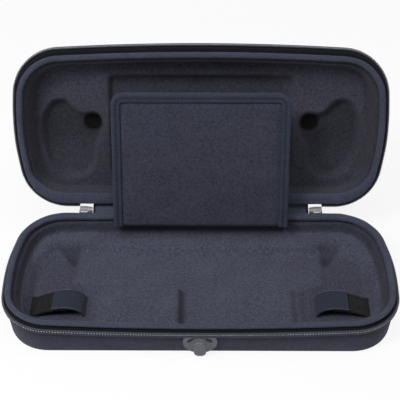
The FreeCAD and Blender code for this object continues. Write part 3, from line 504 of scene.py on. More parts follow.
# Insets of the lips, and how they are widened at the rear, drawn in at the seam and made uneven.
LIP_INNER, LIP_OUTER, LIP_WIDEN_FROM = 8.1, 2.9, 4.5
BASE_LIP_WIDER, LID_LIP_WIDER = 1.6, 4.2
UNDERCUT, UNDERCUT_TO = 1.6, 5.5
UNEVEN, UNEVEN_SIZE = 0.18, 10.0

# The coil's turns and its painted glints, as half sizes along, across and up, and the zip's step outwards at
# the rear.
COIL_PITCH, TURN_SIZE, GLINT_SIZE = 2.1, (0.62, 1.1, 1.0), (0.30, 0.32, 0.30)
ZIP_SPREAD = -1.1 * REARMOST


def shell_profile(top, closed_end, sign, rim, wall):
    """Skin of one half, from under the lip down the drafted wall, round the closed edge to the flat end.

    rim and wall are the shares of the drift at the rim and at the foot of the wall.
    """
    slope = math.tan(SHELL_DRAFT)
    profile = [(6.0, top - sign * 0.1, rim), (3.5, top, rim * 0.3), (2.95, top + sign * 0.15, 0.0)]
    profile.append((SHELL_INSET, top + sign * 0.6, 0.0))
    centre_down = abs(closed_end - top) - SHELL_EDGE_R
    centre_in = SHELL_INSET + slope * centre_down + SHELL_EDGE_R / math.cos(SHELL_DRAFT)
    start = centre_down - SHELL_EDGE_R * math.sin(SHELL_DRAFT)
    for share in np.linspace(0.08, 1.0, 12):
        down = start * share
        profile.append((SHELL_INSET + slope * down, top + sign * down, wall * smooth(0.25 + 0.75 * share)))
    for angle in np.linspace(-SHELL_DRAFT, math.pi / 2, 12)[1:]:
        inset = centre_in - SHELL_EDGE_R * math.cos(angle)
        profile.append((inset, top + sign * (centre_down + SHELL_EDGE_R * math.sin(angle)), wall))
    for inset, share in ((12.0, 0.8), (17.0, 0.5), (24.0, 0.2), (34.0, 0.0)):
        profile.append((inset, closed_end, wall * share))
    return profile


def roll(inner, outer, low, high, power=2.7, count=22):
    """Closed profile of a padded roll."""
    centre, middle = (inner + outer) / 2, (low + high) / 2
    wide, tall = (inner - outer) / 2, (high - low) / 2
    angles = np.linspace(0, 2 * math.pi, count, endpoint=False)
    across, up = [np.sign(part) * np.abs(part) ** (2 / power) for part in (np.cos(angles), np.sin(angles))]
    return list(zip(centre + wide * across, middle + tall * up))


def along_zip(inset, height, lid):
    """Places along the zip's coil with their directions along the zip and up."""
    at = np.arange(ZIP_END + 0.8, ALONG[-1] - ZIP_END, COIL_PITCH)
    known = joined(np.hstack([EDGE, INWARD]), ZIP_SPREAD)
    x, y, *inward, extra = [np.interp(at, ALONG[:-1], column) for column in known.T]
    inward = unit(np.column_stack(inward))
    place = np.column_stack([x, y]) + inward * (inset + extra)[:, None]
    middle = joined(place, height)
    tangents = np.column_stack([inward[:, 1], -inward[:, 0], np.zeros(len(at))])
    ups = np.tile([0.0, 0.0, 1.0], (len(at), 1))
    if lid:
        ends = [turn_lid(middle), turn_lid(middle + tangents), turn_lid(middle + ups)]
        middle, tangents, ups = ends[0], unit(ends[1] - ends[0]), unit(ends[2] - ends[0])
    return middle, tangents, ups


def make_shell(name, edge, end, sign, lid):
    """Cloth skin of one half, with painted shade towards the zip and painted light towards the closed end.
    """
    shares, drift = ((1.0, 0.0), LID_DRIFT) if lid else ((0.0, 1.0), -FOOT_SPREAD)
    skin = shell_profile(edge, end, sign, *shares)
    down = np.array([(height - edge) / (end - edge) for _, height, _ in skin])
    # Painted shade near the zip and painted light towards the closed end.
    tone = np.interp(down, SHELL_DOWN, SHELL_PAINTED_SHADE_AND_LIGHT)
    shell = sweep(f"{name}_shell_skin", skin, SHELL, lid=lid, cap=True, drift=drift, tone=tone)
    assign(shell, name, "shell_cloth", f"{name}_shell")


def make_lip(name, top, edge, sign, lid):
    """Padded roll round the opening, wider at the rear and drawn in towards its seam beside the zip."""
    low, high = sorted((edge + sign * 0.2, top))
    inset, height = np.transpose(roll(LIP_INNER, LIP_OUTER, low, high))
    deep = smooth(((top - height) / (top - edge) - 0.1) / 0.7)
    inset = np.where(inset < UNDERCUT_TO, inset + UNDERCUT * deep, inset)
    inner = np.clip(inset - LIP_WIDEN_FROM, 0, None) / (LIP_INNER - LIP_WIDEN_FROM)
    wider = (LID_LIP_WIDER if lid else BASE_LIP_WIDER) * np.outer(REAR_WALL, inner)
    seed = 3 if lid else 1

    def shape(points):
        points[..., :2] += wider[..., None] * INWARD[:, None]
        uneven = UNEVEN * soft_noise(points, UNEVEN_SIZE, seed)
        points[..., 2] += sign * uneven
        points[..., :2] += uneven[..., None] * INWARD[:, None]
        return points

    drift = LID_DRIFT if lid else 0.0
    profile = list(zip(inset, height))
    lip = sweep(f"{name}_lip_roll", profile, LIP, closed=True, lid=lid, wobble=shape, drift=drift)
    assign(lip, name, "lip_cloth", f"{name}_lip")


def make_zip(name, edge, sign, lid):
    """Zip tape sewn to the shell, and its coil: a cord, the turns round it, and near-white beads on the
    turns that are a painted highlight.
    """
    seam = edge + sign * SEAM_DROP
    coil = edge + sign * COIL_DROP
    wall = SHELL_INSET + SEAM_DROP * math.tan(SHELL_DRAFT)
    profile = [
        (wall + 0.1, seam + sign * 0.6, 0.0),
        (1.5, seam + sign * 0.3, 0.4),
        (0.85, seam - sign * 0.1, 0.7),
        (0.4, seam - sign * 1.0),
        (0.35, coil + sign * 1.2),
        (0.7, coil + sign * 0.8),
        (1.6, coil + sign * 0.8),
        (wall - 1.0, seam - sign * 1.0),
        (wall - 0.05, seam, 0.4),
    ]
    tape = sweep(f"{name}_tape", profile, TAPE, span=ZIP_END, closed=True, lid=lid, drift=ZIP_SPREAD)
    low, high = sorted((coil - sign * 0.85, coil + sign * 0.75))
    section = roll(2.4, 0.6, low, high, power=2.4, count=10)
    core = sweep(f"{name}_coil_cord", section, CORD, span=ZIP_END, closed=True, lid=lid, drift=ZIP_SPREAD)
    places = along_zip(1.25, coil - sign * 0.1, lid)
    turns = thread(f"{name}_coil_turns", *places, TURN_SIZE, CORD)
    # Painted highlight: near-white beads where the coil's turns catch the light.
    glint_inset, glint_drop = (0.75, 0.85) if lid else (0.34, 0.2)
    places = along_zip(glint_inset, coil - glint_drop, lid)
    painted_glints = thread(f"{name}_painted_coil_glints", *places, GLINT_SIZE, COIL_GLINT_PAINT)
    assign(tape, name, "zip_tape", f"{name}_zip_tape")
    assign(core, name, "zip_coil")
    assign(turns, name, "zip_coil", f"{name}_zip_coil")
    assign(painted_glints, name, "zip_coil")


def make_half(name, top, edge, end, sign):
    """Shell, lip and zip half of the base or the lid. sign is the way from the rim into the half."""
    lid = name == "lid"
    make_shell(name, edge, end, sign, lid)
    make_lip(name, top, edge, sign, lid)
    make_zip(name, edge, sign, lid)


# Fields over the plan

# Spacing of the fields' values, and their places across and along the plan.
RASTER = 0.5
AXES = [np.arange(-size / 2, size / 2 + RASTER, RASTER) for size in (WIDTH, DEPTH)]


def filled(polygon):
    """1 inside a polygon and 0 outside it, over the whole plan."""
    return inside(*np.meshgrid(*AXES, indexing="ij"), polygon).astype(float)


def mirrored(polygon):
    return [(-x, y) for x, y in polygon]


def both_sides(polygon):
    return filled(polygon) + filled(mirrored(polygon))


def softened(field, size):
    """Blur a field with a bell curve of the given size, in millimetres."""
    reach = int(4 * size / RASTER)
    weights = np.exp(-0.5 * (np.arange(-reach, reach + 1) * RASTER / size) ** 2)
    weights /= weights.sum()
    for axis in (0, 1):
        wider = np.pad(field, [(reach, reach) if k == axis else (0, 0) for k in (0, 1)], mode="edge")
        count = field.shape[axis]
        field = sum(w * np.take(wider, range(k, k + count), axis=axis) for k, w in enumerate(weights))
    return field


def sample(field, points):
    """A field's value at plan points."""
    i, j = [np.clip((p - axis[0]) / RASTER, 0, len(axis) - 1.001) for p, axis in zip(points.T, AXES)]
    i0, j0 = i.astype(int), j.astype(int)
    a, b = i - i0, j - j0
    low = field[i0, j0] * (1 - b) + field[i0, j0 + 1] * b
    high = field[i0 + 1, j0] * (1 - b) + field[i0 + 1, j0 + 1] * b
    return low * (1 - a) + high * a


def rounded(polygon, times=3):
    """Cut the corners of a closed polygon until it runs smoothly."""
    points = np.asarray(polygon, float)
    for _ in range(times):
        after = np.roll(points, -1, axis=0)
        cuts = [0.75 * points + 0.25 * after, 0.25 * points + 0.75 * after]
        points = np.stack(cuts, axis=1).reshape(-1, 2)
    return points


# Moulded liners

# The tray's heights, and the rear edge of its lower middle.
SHELF, BLOCK_TOP = 14.5, 14.0
MIDDLE_DROP, BASIN_DROP, BAY_DROP = 5.5, 3.5, 3.6
MIDDLE_HALF, MIDDLE_REAR, MIDDLE_SAG = 95, 39, 3.0

LINING_DEEP, RECESS_DEEP, EAR_DEEP, WELL_DEEP = 21.3, 5.0, 6.6, 8.6

# The lid's forms are placed by their distances from its middle and from this line beside the hinge.
LID_LINE = AXIS_Y + 2.07
EAR = [(102.4, 78), (112, 89.2), (117, 91.8), (125.4, 90.1), (131.9, 80.6), (135, 70.2), (133.5, 55)]
EAR += [(128, 33), (116, 25), (100.6, 24.9), (89.7, 36.6), (91.7, 50), (84.7, 61.5), (84, 72), (92, 80)]
WELL_X, WELL_AWAY, WELL_R = 92, 71, 9
RECESS_HALF, RECESS_NEAR, RECESS_FAR = 76, 26, 111.5

# Walls of the liners, as insets and heights. The lid's is steeper at the rear.
BASE_WALL = [(7.0, 24.0), (8.3, 23.6), (9.4, 23.4), (10.4, 23.0), (11.1, 22.2), (11.4, 21.0), (11.9, 19.2)]
BASE_WALL += [(12.6, 16.8), (13.1, 15.6), (14.0, 14.75), (15.5, 14.5)]
LID_WALL = [(7.0, 5.3), (8.3, 5.7), (9.4, 5.9), (10.4, 6.3), (11.1, 7.2), (11.4, 8.6), (12.3, 12.0)]
LID_WALL += [(13.5, 16.4), (14.2, 18.9), (15.2, 20.5), (16.6, 21.2), (18.4, 21.3)]
STEEP_FROM, STEEPER = 11.3, 0.7

NET_SPACING = 1.1


def net(outline_points, margin):
    """Triangles over the inside of a closed plan outline, whose points come first."""
    count = len(outline_points)
    low, high = outline_points.min(0), outline_points.max(0)
    axes = [np.arange(a + NET_SPACING / 2, b, NET_SPACING) for a, b in zip(low, high)]
    grid = np.stack(np.meshgrid(*axes, indexing="ij"), axis=-1).reshape(-1, 2)
    grid = grid[margin(grid) > 0.6 * NET_SPACING]
    edges = [(k, (k + 1) % count) for k in range(count)]
    flat = np.vstack([outline_points, grid])
    out = delaunay_2d_cdt([Vector(p) for p in flat], edges, [], 1, 1e-6)
    return np.array([tuple(v) for v in out[0]]), np.array(out[2])


def moulded(name, wall, field, material, lid, place, tones, shaded):
    """A liner: its wall carried round the outline, and its floor as a fine net over a height field.

    place gives the insets along the outline for a wall's inset. tones is the painted light and shade over
    the floor, and shaded how much painted shade darkens the upper wall along the outline.
    """
    rows = np.stack([joined(ring(place(inset)), height) for inset, height in wall], axis=1)
    faces, wall_uv = lattice(rows, True)
    border = ring(place(wall[-1][0]))
    plan, triangles = net(border, lambda p: depth_inside(p, border))
    points = np.vstack([rows.reshape(-1, 3), joined(plan, sample(field, plan))])
    # Painted shade on the upper wall, fading out towards the floor.
    wall_tone = 1.0 - np.outer(shaded, smooth(np.linspace(2.2, 0.0, rows.shape[1])))
    shade = np.concatenate([wall_tone.ravel(), sample(tones, plan)])
    faces += (triangles + rows.shape[0] * rows.shape[1]).tolist()
    uv = np.vstack([wall_uv, plan[triangles].reshape(-1, 2)])
    if lid:
        points = turn_lid(points)
    return face_outwards(build(name, points, faces, material, uv, shade), weld=0.02)


def base_fields():
    """Heights of the base tray, with its shelf, middle, basins, bays, blocks and notch, and its painted
    shade.
    """
    right = [(MIDDLE_HALF, MIDDLE_REAR), (106, 46.5), (121, 46.5), (138, 17), (138, -35), (124, -49)]
    across = np.linspace(-MIDDLE_HALF, MIDDLE_HALF, 25)[1:-1]
    sag = [(x, MIDDLE_REAR - MIDDLE_SAG * (1 - (x / MIDDLE_HALF) ** 2)) for x in across]
    middle = filled(right + mirrored(right)[::-1] + sag)
    block = [(74, -60), (74, -8), (15.5, -8), (15.5, -60)]
    basin = [(101, 34), (101, -1), (81, -8), (81, -42), (126, -42), (135, -33), (135, 14), (121, 34)]
    basins = both_sides(basin)
    bays = both_sides([(100.5, 44), (120, 44), (112, 34), (104, 22)])
    notch_side_shade = filled([(-17.5, -60), (-17.5, -9), (-11.5, -9), (-11.5, -60)])
    floor = SHELF - MIDDLE_DROP * softened(middle, 2.0)
    floor -= BASIN_DROP * softened(basins, 1.9)
    floor -= BAY_DROP * softened(bays, 1.4)
    share = softened(filled(block), 1.8) + softened(filled(mirrored(block)), 1.2)
    # Painted shade: darker basins, darker bays and a darker side wall on the notch.
    tones = 1.0 - 0.2 * softened(basins, 3.0) - 0.4 * softened(bays, 1.3) - 0.45 * softened(notch_side_shade, 1.1)
    return floor + np.clip(BLOCK_TOP - floor, 0, None) * share, tones


def lid_box(half, near, far):
    """A box on the lid's lining, between two distances from the hinge side."""
    low, high = LID_LINE - far, LID_LINE - near
    return [(half, high), (half, low), (-half, low), (-half, high)]


def lid_fields():
    """Depths of the lid's lining, with the flap's recess, grip recesses and stick wells, and its painted
    light and shade.
    """
    recess = filled(lid_box(RECESS_HALF, RECESS_NEAR, RECESS_FAR))
    ears = both_sides(rounded([(x, LID_LINE - away) for x, away in EAR]))
    turn = np.linspace(0, 2 * math.pi, 40, endpoint=False)
    well_y = LID_LINE - WELL_AWAY
    well = [(WELL_X + WELL_R * math.cos(a), well_y + WELL_R * math.sin(a)) for a in turn]
    wells = softened(both_sides(well), 1.1)
    shadows = softened(both_sides([(x, y - 1.6) for x, y in well]), 1.6)
    deep = np.maximum(EAR_DEEP * softened(ears, 1.1), WELL_DEEP * wells)
    slope = np.clip(softened(recess, 2.2) * 2 - 0.5, 0, 1)
    depths = LINING_DEEP + RECESS_DEEP * softened(slope, 0.6) + softened(deep, 0.5)
    recess_edge_shadow = filled(lid_box(RECESS_HALF, 106, 112))
    away = LID_LINE - AXES[1]
    # Painted light on the flats far from the hinge, painted shade in the grip recesses, and painted shadows
    # in the wells' upper sides and under the recess's far edge.
    far_light = 0.3 * smooth((away - 55) / 30)
    ear_shade = 0.62 * smooth((away - 35) / 50)
    tones = 1.0 + far_light - softened(ears, 2.0) * ear_shade
    return depths, tones - 0.9 * shadows * wells - 0.5 * softened(recess_edge_shadow, 1.6)


def make_base_tray():
    heights, tones = base_fields()
    # Painted shade on the tray's upper wall.
    shaded = np.full(len(EDGE), 0.45)
    tray = moulded("base_tray", BASE_WALL, heights, LINER, False, lambda inset: inset, tones, shaded)
    assign(tray, "base", "liner_cloth", "base_liner")


def make_lid_lining():
    steep = 1 - STEEPER * REAR_WALL

    def place(inset):
        return LID_DRIFT + np.minimum(inset, STEEP_FROM) + max(inset - STEEP_FROM, 0) * steep

    depths, tones = lid_fields()
    # Painted shade on the lining's upper wall, most at the front and none at the rear.
    shaded = (0.12 + 0.28 * FRONTAL) * (1 - REARMOST)
    lining = moulded("lid_lining", LID_WALL, depths, LINER_SHADED_COPY, True, place, tones, shaded)
    assign(lining, "lid", "liner_cloth", "lid_liner")


# Flap

# Heights through the flap, and the inset of the groove that the edging's stitches lie in.
PAD_INSET, PAD_BACK, PAD_FRONT = 0.9, 1.2, 5.7
STITCH_LINE = 4.2


def flap_path(inset, count=14):
    """Points round the flap's left, top and right edges, from foot to foot, moved inwards."""
    half, top, radius = FLAP_HALF - inset, FLAP_LENGTH - inset, max(FLAP_CORNER - inset, 0.6)
    points = [(-half, along) for along in np.linspace(FLAP_FOOT, top - radius, 30)[:-1]]
    for start, centre in ((math.pi, radius - half), (math.pi / 2, half - radius)):
        for angle in np.linspace(start, start - math.pi / 2, count):
            points.append((centre + radius * math.cos(angle), top - radius + radius * math.sin(angle)))
    points += [(half, along) for along in np.linspace(top - radius, FLAP_FOOT, 30)[1:]]
    return np.array(points)


def flap_margin(points):
    """How far inside the flap's edge each point lies."""
    x, along = np.abs(points[:, 0]), points[:, 1]
    margin = np.minimum(FLAP_HALF - x, np.minimum(FLAP_LENGTH - along, along - FLAP_FOOT))
    inner = FLAP_HALF - FLAP_CORNER, FLAP_LENGTH - FLAP_CORNER
    corner = FLAP_CORNER - np.hypot(np.clip(x - inner[0], 0, None), np.clip(along - inner[1], 0, None))
    return np.where((x > inner[0]) & (along > inner[1]), np.minimum(margin, corner), margin)


def make_flap_pad():
    """The padded board, with a seam beside its edging and a rounded foot."""
    rim = flap_path(PAD_INSET)
    foot = joined(np.linspace(rim[-1, 0], rim[0, 0], 130)[1:-1], FLAP_FOOT)
    plan, triangles = net(np.vstack([rim, foot]), lambda p: flap_margin(p) - PAD_INSET)
    x, along = plan[:, 0], plan[:, 1]
    away = flap_margin(np.column_stack([x, np.maximum(along, 14.0)]))
    crown = 1.0 - np.exp(-np.clip(away - BINDING_WIDE, 0, None) / 9.0)
    seam = 0.9 * np.exp(-(((away - BINDING_WIDE - 0.5) / 0.9) ** 2))
    round_foot = 1.6 * np.clip(1 - (along - FLAP_FOOT) / 2.4, 0, 1) ** 2
    ripple = soft_noise(joined(plan, 0.0), 22.0, 5)
    front = PAD_FRONT + crown - seam - round_foot + 0.12 * ripple
    back = PAD_BACK - 0.6 * crown + 0.6 * round_foot
    count = len(plan)
    border = len(rim) + len(foot)
    sides = [[k, (k + 1) % border, (k + 1) % border + count, k + count] for k in range(border)]
    faces = triangles.tolist() + (triangles[:, ::-1] + count).tolist() + sides
    corners = (triangles, triangles[:, ::-1], np.array(sides) % count)
    uv = np.vstack([plan[corner].reshape(-1, 2) for corner in corners])
    points = turn_flap(np.vstack([joined(plan, front), joined(plan, back)]))
    pad = face_outwards(build("flap_pad", points, faces, FLAP, uv))
    assign(pad, "flap", "flap_cloth", "flap_panel")


def flap_line(inset, through):
    """Points round the flap's edge, at an inset and at a height through the flap."""
    return joined(flap_path(inset), through)


def make_flap_edging():
    """Edging folded round the pad's left, top and right sides, with a stitched groove on both faces."""
    edge = BINDING_WIDE
    section = [(edge + 0.1, 5.0), (edge - 0.1, 6.0), (edge - 0.7, 6.5), (edge - 1.8, 6.65), (5.0, 6.6)]
    section += [(STITCH_LINE, 5.9), (3.5, 6.6), (2.9, 6.85), (1.9, 6.95), (0.8, 6.6), (0.2, 5.5), (0.0, 3.5)]
    section += [(inset, FLAP_THICK - through) for inset, through in reversed(section[:-1])]
    points = np.stack([flap_line(*place) for place in section], axis=1)
    faces, uv = lattice(points)
    # Painted shade in the stitched groove and at the edging's seam with the pad.
    tone_insets = [3.2, STITCH_LINE, 5.3, edge - 0.8, edge - 0.1, edge + 0.1]
    tone = np.interp([inset for inset, _ in section], tone_insets, [1, 0.25, 1, 1, 0.5, 0.25])
    tones = np.tile(tone, len(points))
    edging = build("flap_edging", turn_flap(points), faces, BINDING, uv, tones)
    assign(face_outwards(edging), "flap", "binding_cloth", "flap_binding")
    path_length(flap_path(4.0))

    forward = turn_flap(np.array([0, 0, 1.0])) - turn_flap(np.zeros(3))
    for side, through, sign, lowest in (("front", 6.15, 1, FLAP_FOOT), ("back", 0.85, -1, 4.0)):
        line = flap_line(STITCH_LINE, through)
        line = turn_flap(line[line[:, 1] >= lowest])
        seam = stitch(f"edging_stitches_{side}", line, sign * forward, 3.0, 2.2, 0.45, THREAD)
        assign(seam, "flap", "binding_cloth")


# Hinges

STRIP_HALF, STRIP_THICK = 92.3, 1.2
FLAP_TAPE_HALF, FLAP_TAPE_THICK = 70, 0.8

# The path of the tape that the flap hangs on, as (y, z), from the tray's rear wall over to the flap's foot.
FLAP_TAPE_PATH = [(56.9, 17.4), (57.2, 20.0), (57.4, 22.5), (57.35, 24.6), (56.9, 26.2), (56.0, 27.2)]
FLAP_TAPE_PATH += [(55.0, 27.5)]


def thicken(made, thickness):
    solid = made.modifiers.new("thickness", "SOLIDIFY")
    solid.thickness = thickness * MM
    solid.offset = 0.0


def make_hinge_strip():
    """Cloth strip from the base's zip seam to the lid's, between the zip's ends. Its own ends are dark."""
    low = np.array([67.0, BASE_EDGE - SEAM_DROP])
    high = turn_lid(np.array([0, DEPTH / 2 - 2.5, LID_EDGE + SEAM_DROP]))[1:]
    share = np.linspace(0, 1, 17)
    x = np.linspace(-STRIP_HALF, STRIP_HALF, 150)
    rows = np.empty((len(x), len(share), 3))
    rows[..., 0] = x[:, None]
    rows[..., 1:] = low + np.outer(share, high - low)
    ripple = soft_noise(rows, 9.0, 8)
    lift = np.sin(math.pi * share) * (1.6 + 0.3 * ripple)
    rows[..., 1] -= 0.57 * lift
    rows[..., 2] += 0.82 * lift
    faces, uv = lattice(rows)
    tones = np.repeat(np.where(np.abs(x) > STRIP_HALF - 2.4, 0.06, 1.0), len(share))
    strip = build("hinge_cloth_strip", rows, faces, STRIP, uv, tones)
    thicken(strip, STRIP_THICK)
    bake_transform(strip)
    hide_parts("hinge_strip")


def make_flap_tape():
    across = np.linspace(-FLAP_TAPE_HALF, FLAP_TAPE_HALF, 100)
    rows = np.array([[(x, y, z) for y, z in FLAP_TAPE_PATH] for x in across])
    faces, uv = lattice(rows)
    # Painted shade: the tape is drawn darker for the shade under the flap.
    tones = np.full(rows[..., 0].size, 0.3)
    tape = build("flap_cloth_tape", rows, faces, STRIP, uv, tones)
    thicken(tape, FLAP_TAPE_THICK)
    assign(tape, "base", "hinge_cloth", "flap_hinge_tape")


# Straps

SIDES = (("left", -1), ("right", 1))

# The arch's middle (x, y), the strap's half width, and the arch's radius and the height of its centre.
STRAP_X, STRAP_Y, STRAP_HALF, STRAP_R, STRAP_Z = 112.8, -23.5, 10.5, 30.0, -14.5

# Height of the tray under the straps, the arch's lean towards the middle, and the bands' thickness.
TRAY_LOW, STRAP_SKEW, BAND_THICK = 5.5, 0.7, 1.3

# From the arch's middle: where the webbing ends, and where the pile starts and ends.
WEBBING_END, PILE_START, PILE_END = 9.0, -3.0, 23.0


def band(name, path, material, mirror, seed):
    """A flat woven band along a path of (x, z), with ribs near its edges and a slight waviness."""
    half = STRAP_HALF
    step = unit(np.gradient(path, axis=0))
    normal = np.column_stack([-step[:, 1], step[:, 0]])
    if normal[len(normal) // 2, 1] < 0:
        normal = -normal
    width = np.concatenate([[-half], np.linspace(-half + 0.3, half - 0.3, 26), [half]])
    rib = 0.30 * np.exp(-((np.abs(width) - half + 1.2) / 0.8) ** 2)
    rib[[0, -1]] = -0.45
    wave = soft_noise(joined(path, 0.0), 8.0, seed) * 0.35
    tilt = np.outer(wave, width) / half
    upper = BAND_THICK / 2 + rib + tilt
    lower = -BAND_THICK / 2 - rib * 0.5 + tilt
    lift = np.hstack([upper, lower[:, ::-1]])
    points = np.empty((*lift.shape, 3))
    points[..., 0] = mirror * (path[:, :1] + normal[:, :1] * lift)
    points[..., 1] = STRAP_Y + np.concatenate([width, width[::-1]])
    points[..., 2] = path[:, 1:] + normal[:, 1:] * lift
    faces, uv = lattice(points, False, True)
    count = points.shape[1]
    ends = [list(range(count)), list(range((len(path) - 1) * count, len(path) * count))]
    uv = np.vstack([uv, np.zeros((2 * count, 2))])
    return face_outwards(build(name, points, faces + ends, material, uv))


def arch(radius, start, end, count=60):
    """Points (x, z) on the strap's round arch between two distances from the middle of the case."""
    turn = [math.acos(max(-1, min(1, (x - STRAP_X) / radius))) for x in (start, end)]
    turns = np.linspace(*turn, count)
    return np.array([(STRAP_X + radius * math.cos(a), STRAP_Z + radius * math.sin(a)) for a in turns])


def strap_paths():
    """Paths (x, z) of the webbing and of the pile under it, and where the webbing meets the tray."""
    low = TRAY_LOW + 0.3
    over = STRAP_R - 0.75
    span = math.sqrt(over**2 - (low - STRAP_Z) ** 2)
    webbing = arch(over, STRAP_X - span, STRAP_X + WEBBING_END)
    under = STRAP_R - 2.4
    reach = math.sqrt(under**2 - (TRAY_LOW + 2.2 - STRAP_Z) ** 2)
    pile = arch(under, STRAP_X + PILE_START, STRAP_X + reach)
    for path in (webbing, pile):
        path[:, 0] -= STRAP_SKEW * np.clip(path[:, 1] - low, 0, None)
    last_x, last_z = pile[-1]
    x = np.linspace(last_x, STRAP_X + PILE_END, 16)[1:]
    tray = sample(base_fields()[0], joined(x, STRAP_Y))
    rest = np.minimum(tray, 6.0) + 0.5
    easing = smooth((x - last_x) / 5.0)
    fall = np.interp(x, [last_x, last_x + 3.0], [last_z, last_z - 1.4])
    laid = np.column_stack([x, np.maximum(rest, fall * (1 - easing) + rest * easing)])
    return webbing, np.vstack([pile, laid]), STRAP_X - span


def make_straps():
    """Webbing arched over each grip, and the mottled pile that it closes on, which runs down to the tray."""
    webbing, pile, foot_x = strap_paths()
    raised = webbing[1:-1] + (0.0, 0.75)
    for side, mirror in SIDES:
        strap = band(f"strap_band_{side}", webbing, WEBBING, mirror, 11 + mirror)
        assign(strap, "base", "strap_webbing", f"strap_{side}")
        fastener = band(f"strap_pile_{side}", pile, PILE, mirror, 15 + mirror)
        assign(fastener, "base", "hook_and_loop", f"strap_fastener_{side}")
        for index, away in enumerate((1.6, 3.4)):
            x = mirror * (foot_x - away)
            line = [(x, STRAP_Y + y, TRAY_LOW + 0.15) for y in np.linspace(-9.5, 9.5, 20)]
            seam = stitch(f"strap_stitches_{side}_{index}", line, (0, 0, 1), 2.2, 1.6, 0.24, THREAD)
            assign(seam, "base", "strap_webbing")
        for index, away in enumerate((-STRAP_HALF + 0.5, STRAP_HALF - 0.5)):
            y = np.full(len(raised), STRAP_Y + away)
            line = np.column_stack([mirror * raised[:, 0], y, raised[:, 1]])
            name = f"strap_edge_stitches_{side}_{index}"
            seam = stitch(name, line, (0, 0, 1), 1.9, 1.7, 0.26, PALE_THREAD)
            assign(seam, "base", "strap_webbing")


# Sliders, pulls and tab

# The bridge on each slider's front plate. Its span, thickness and width are halves.
CROWN_X, CROWN_Y, CROWN_Z = 99.4, 68.9, 27.2
CROWN_SPAN, CROWN_RISE, CROWN_THICK, CROWN_WIDE = 3.2, 1.0, 0.45, 1.1

BEVEL, BEVEL_FROM = 0.25, math.radians(38)


def make_crowns():
    count, round_count = 28, 16
    turn = np.linspace(0.05, math.pi - 0.05, count)
    around = np.linspace(0, 2 * math.pi, round_count, endpoint=False)
    x = CROWN_X - CROWN_SPAN * np.cos(turn)
    y = CROWN_Y - CROWN_RISE * np.sin(turn) ** 0.6
    middle = np.stack([x, y, np.full(count, CROWN_Z)], axis=-1)
    step = unit(np.gradient(middle, axis=0))
    out = np.stack([step[:, 1], -step[:, 0], np.zeros(count)], axis=-1)
    loop = middle[:, None] + CROWN_THICK * np.cos(around)[:, None] * out[:, None]
    loop[..., 2] += CROWN_WIDE * np.sin(around)
    faces, _ = lattice(loop, False, True)
    faces += [list(range(round_count)), list(range((count - 1) * round_count, count * round_count))]
    for side, mirror in SIDES:
        made = face_outwards(build(f"slider_crown_{side}", loop * (mirror, 1, 1), faces, METAL))
        assign(made, "base", "zip_metal")


def finish_cad():
    """Materials and soft edges of the solids that show as they are."""
    for node in ("grip_tab", "zip_slider_left", "zip_slider_right", "zip_pull_left", "zip_pull_right"):
        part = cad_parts[node]
        part.data.materials.clear()
        part.data.materials.append(RUBBER if node == "grip_tab" else METAL)
        soft = part.modifiers.new("soft_edges", "BEVEL")
        soft.width = BEVEL * MM
        soft.segments = 2
        soft.limit_method = "ANGLE"
        soft.angle_limit = BEVEL_FROM


# Scene, in metres

# The floor, with the share of plain white that it shows, and the world's light from the horizon to overhead.
FLOOR_SIZE, FLOOR_Z, FLOOR_WHITE = 40.0, -0.0004, 0.88
WORLD_LOW, WORLD_HIGH = 0.05, 0.22

# Place, aim, size and watts of each lamp.
LAMPS = {
    "key": ((-0.72, -0.46, 1.15), (0, 0.02, 0.03), 0.5, 11.5),
    "top": ((0.1, -0.15, 1.5), (0, 0.03, 0.06), 1.4, 10.5),
    "fill": ((0.1, -1.45, 0.55), (0, 0.06, 0.08), 0.8, 3.0),
}

# The photograph's camera. Its focal length and the picture's width are in pixels, its sensor in millimetres.
FOCAL, PICTURE, SENSOR = 922.0, 400.0, 36.0
CAMERA_RISE, CAMERA_TURN = math.radians(41.6), math.radians(0.25)
CAMERA_TARGET, CAMERA_DISTANCE, CAMERA_SHIFT = (0, 0.020, 0.045), 0.740, (-0.0013, 0.086)


def make_floor():
    bpy.ops.mesh.primitive_plane_add(size=FLOOR_SIZE, location=(0, 0, FLOOR_Z))
    floor = bpy.context.object
    floor.name = "floor"
    graph = Surface("pale_floor", Roughness=0.9, Specular_IOR_Level=0.1)
    place = graph.add("ShaderNodeTexCoord").outputs["Object"]
    tone = graph.ramp(graph.noise(place, 3.0), [(0.3, (0.86, 0.86, 0.87)), (0.7, (0.88, 0.88, 0.88))])
    graph.drive("Base Color", tone)
    share = graph.math("MULTIPLY", graph.background_rays(), FLOOR_WHITE)
    white = graph.add("ShaderNodeEmission", Color=WHITE, Strength=1.0)
    both = graph.add("ShaderNodeMixShader", {0: share, 1: graph.shader.outputs[0], 2: white.outputs[0]})
    graph.tree.links.new(both.outputs[0], graph.tree.nodes["Material Output"].inputs["Surface"])
    floor.data.materials.append(graph.material)


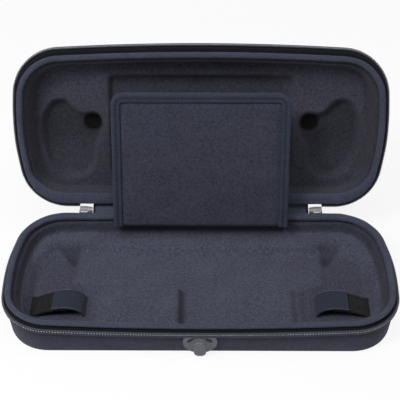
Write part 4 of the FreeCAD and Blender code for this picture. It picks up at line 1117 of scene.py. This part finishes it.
def make_world():
    """Soft light that is stronger from above, and white where it is seen itself."""
    world = bpy.data.worlds.new("studio")
    bpy.context.scene.world = world
    graph = Graph(world)
    graph.tree.nodes.clear()
    place = graph.add("ShaderNodeTexCoord").outputs["Generated"]
    height = graph.add("ShaderNodeSeparateXYZ", {"Vector": place}).outputs["Z"]
    level = graph.add("ShaderNodeMapRange", {"Value": height}, To_Min=WORLD_LOW, To_Max=WORLD_HIGH)
    lit = graph.add("ShaderNodeBackground", {"Strength": level.outputs[0]}, Color=WHITE)
    white = graph.add("ShaderNodeBackground", Color=WHITE)
    seen = graph.background_rays()
    both = graph.add("ShaderNodeMixShader", {0: seen, 1: lit.outputs[0], 2: white.outputs[0]})
    graph.add("ShaderNodeOutputWorld", {"Surface": both.outputs[0]})


def make_lamps():
    for name, (place, aim, size, power) in LAMPS.items():
        lamp = bpy.data.lights.new(name, "AREA")
        lamp.shape = "DISK"
        lamp.size = size
        lamp.energy = power
        made = add_object(name, lamp)
        made.location = place
        made.rotation_euler = (Vector(aim) - Vector(place)).to_track_quat("-Z", "Y").to_euler()


def make_camera():
    camera = bpy.data.cameras.new("camera")
    camera.sensor_width = SENSOR
    camera.lens = FOCAL / PICTURE * SENSOR
    camera.shift_x, camera.shift_y = CAMERA_SHIFT
    camera.clip_start = 0.01
    made = add_object("camera", camera)
    flat = math.cos(CAMERA_RISE)
    away = Vector((flat * math.sin(CAMERA_TURN), -flat * math.cos(CAMERA_TURN), math.sin(CAMERA_RISE)))
    made.location = Vector(CAMERA_TARGET) + away * CAMERA_DISTANCE
    made.rotation_euler = (math.pi / 2 - CAMERA_RISE, 0, CAMERA_TURN)
    bpy.context.scene.camera = made
    bpy.context.scene.view_settings.view_transform = "Standard"


make_half("base", BASE_TOP, BASE_EDGE, 0.0, -1)
make_half("lid", LID_RIM, LID_EDGE, LID_RIM + LID_HEIGHT, 1)
make_base_tray()
make_lid_lining()
make_flap_pad()
make_flap_edging()
make_hinge_strip()
make_flap_tape()
make_straps()
make_crowns()
finish_cad()
make_floor()
make_world()
make_lamps()
make_camera()
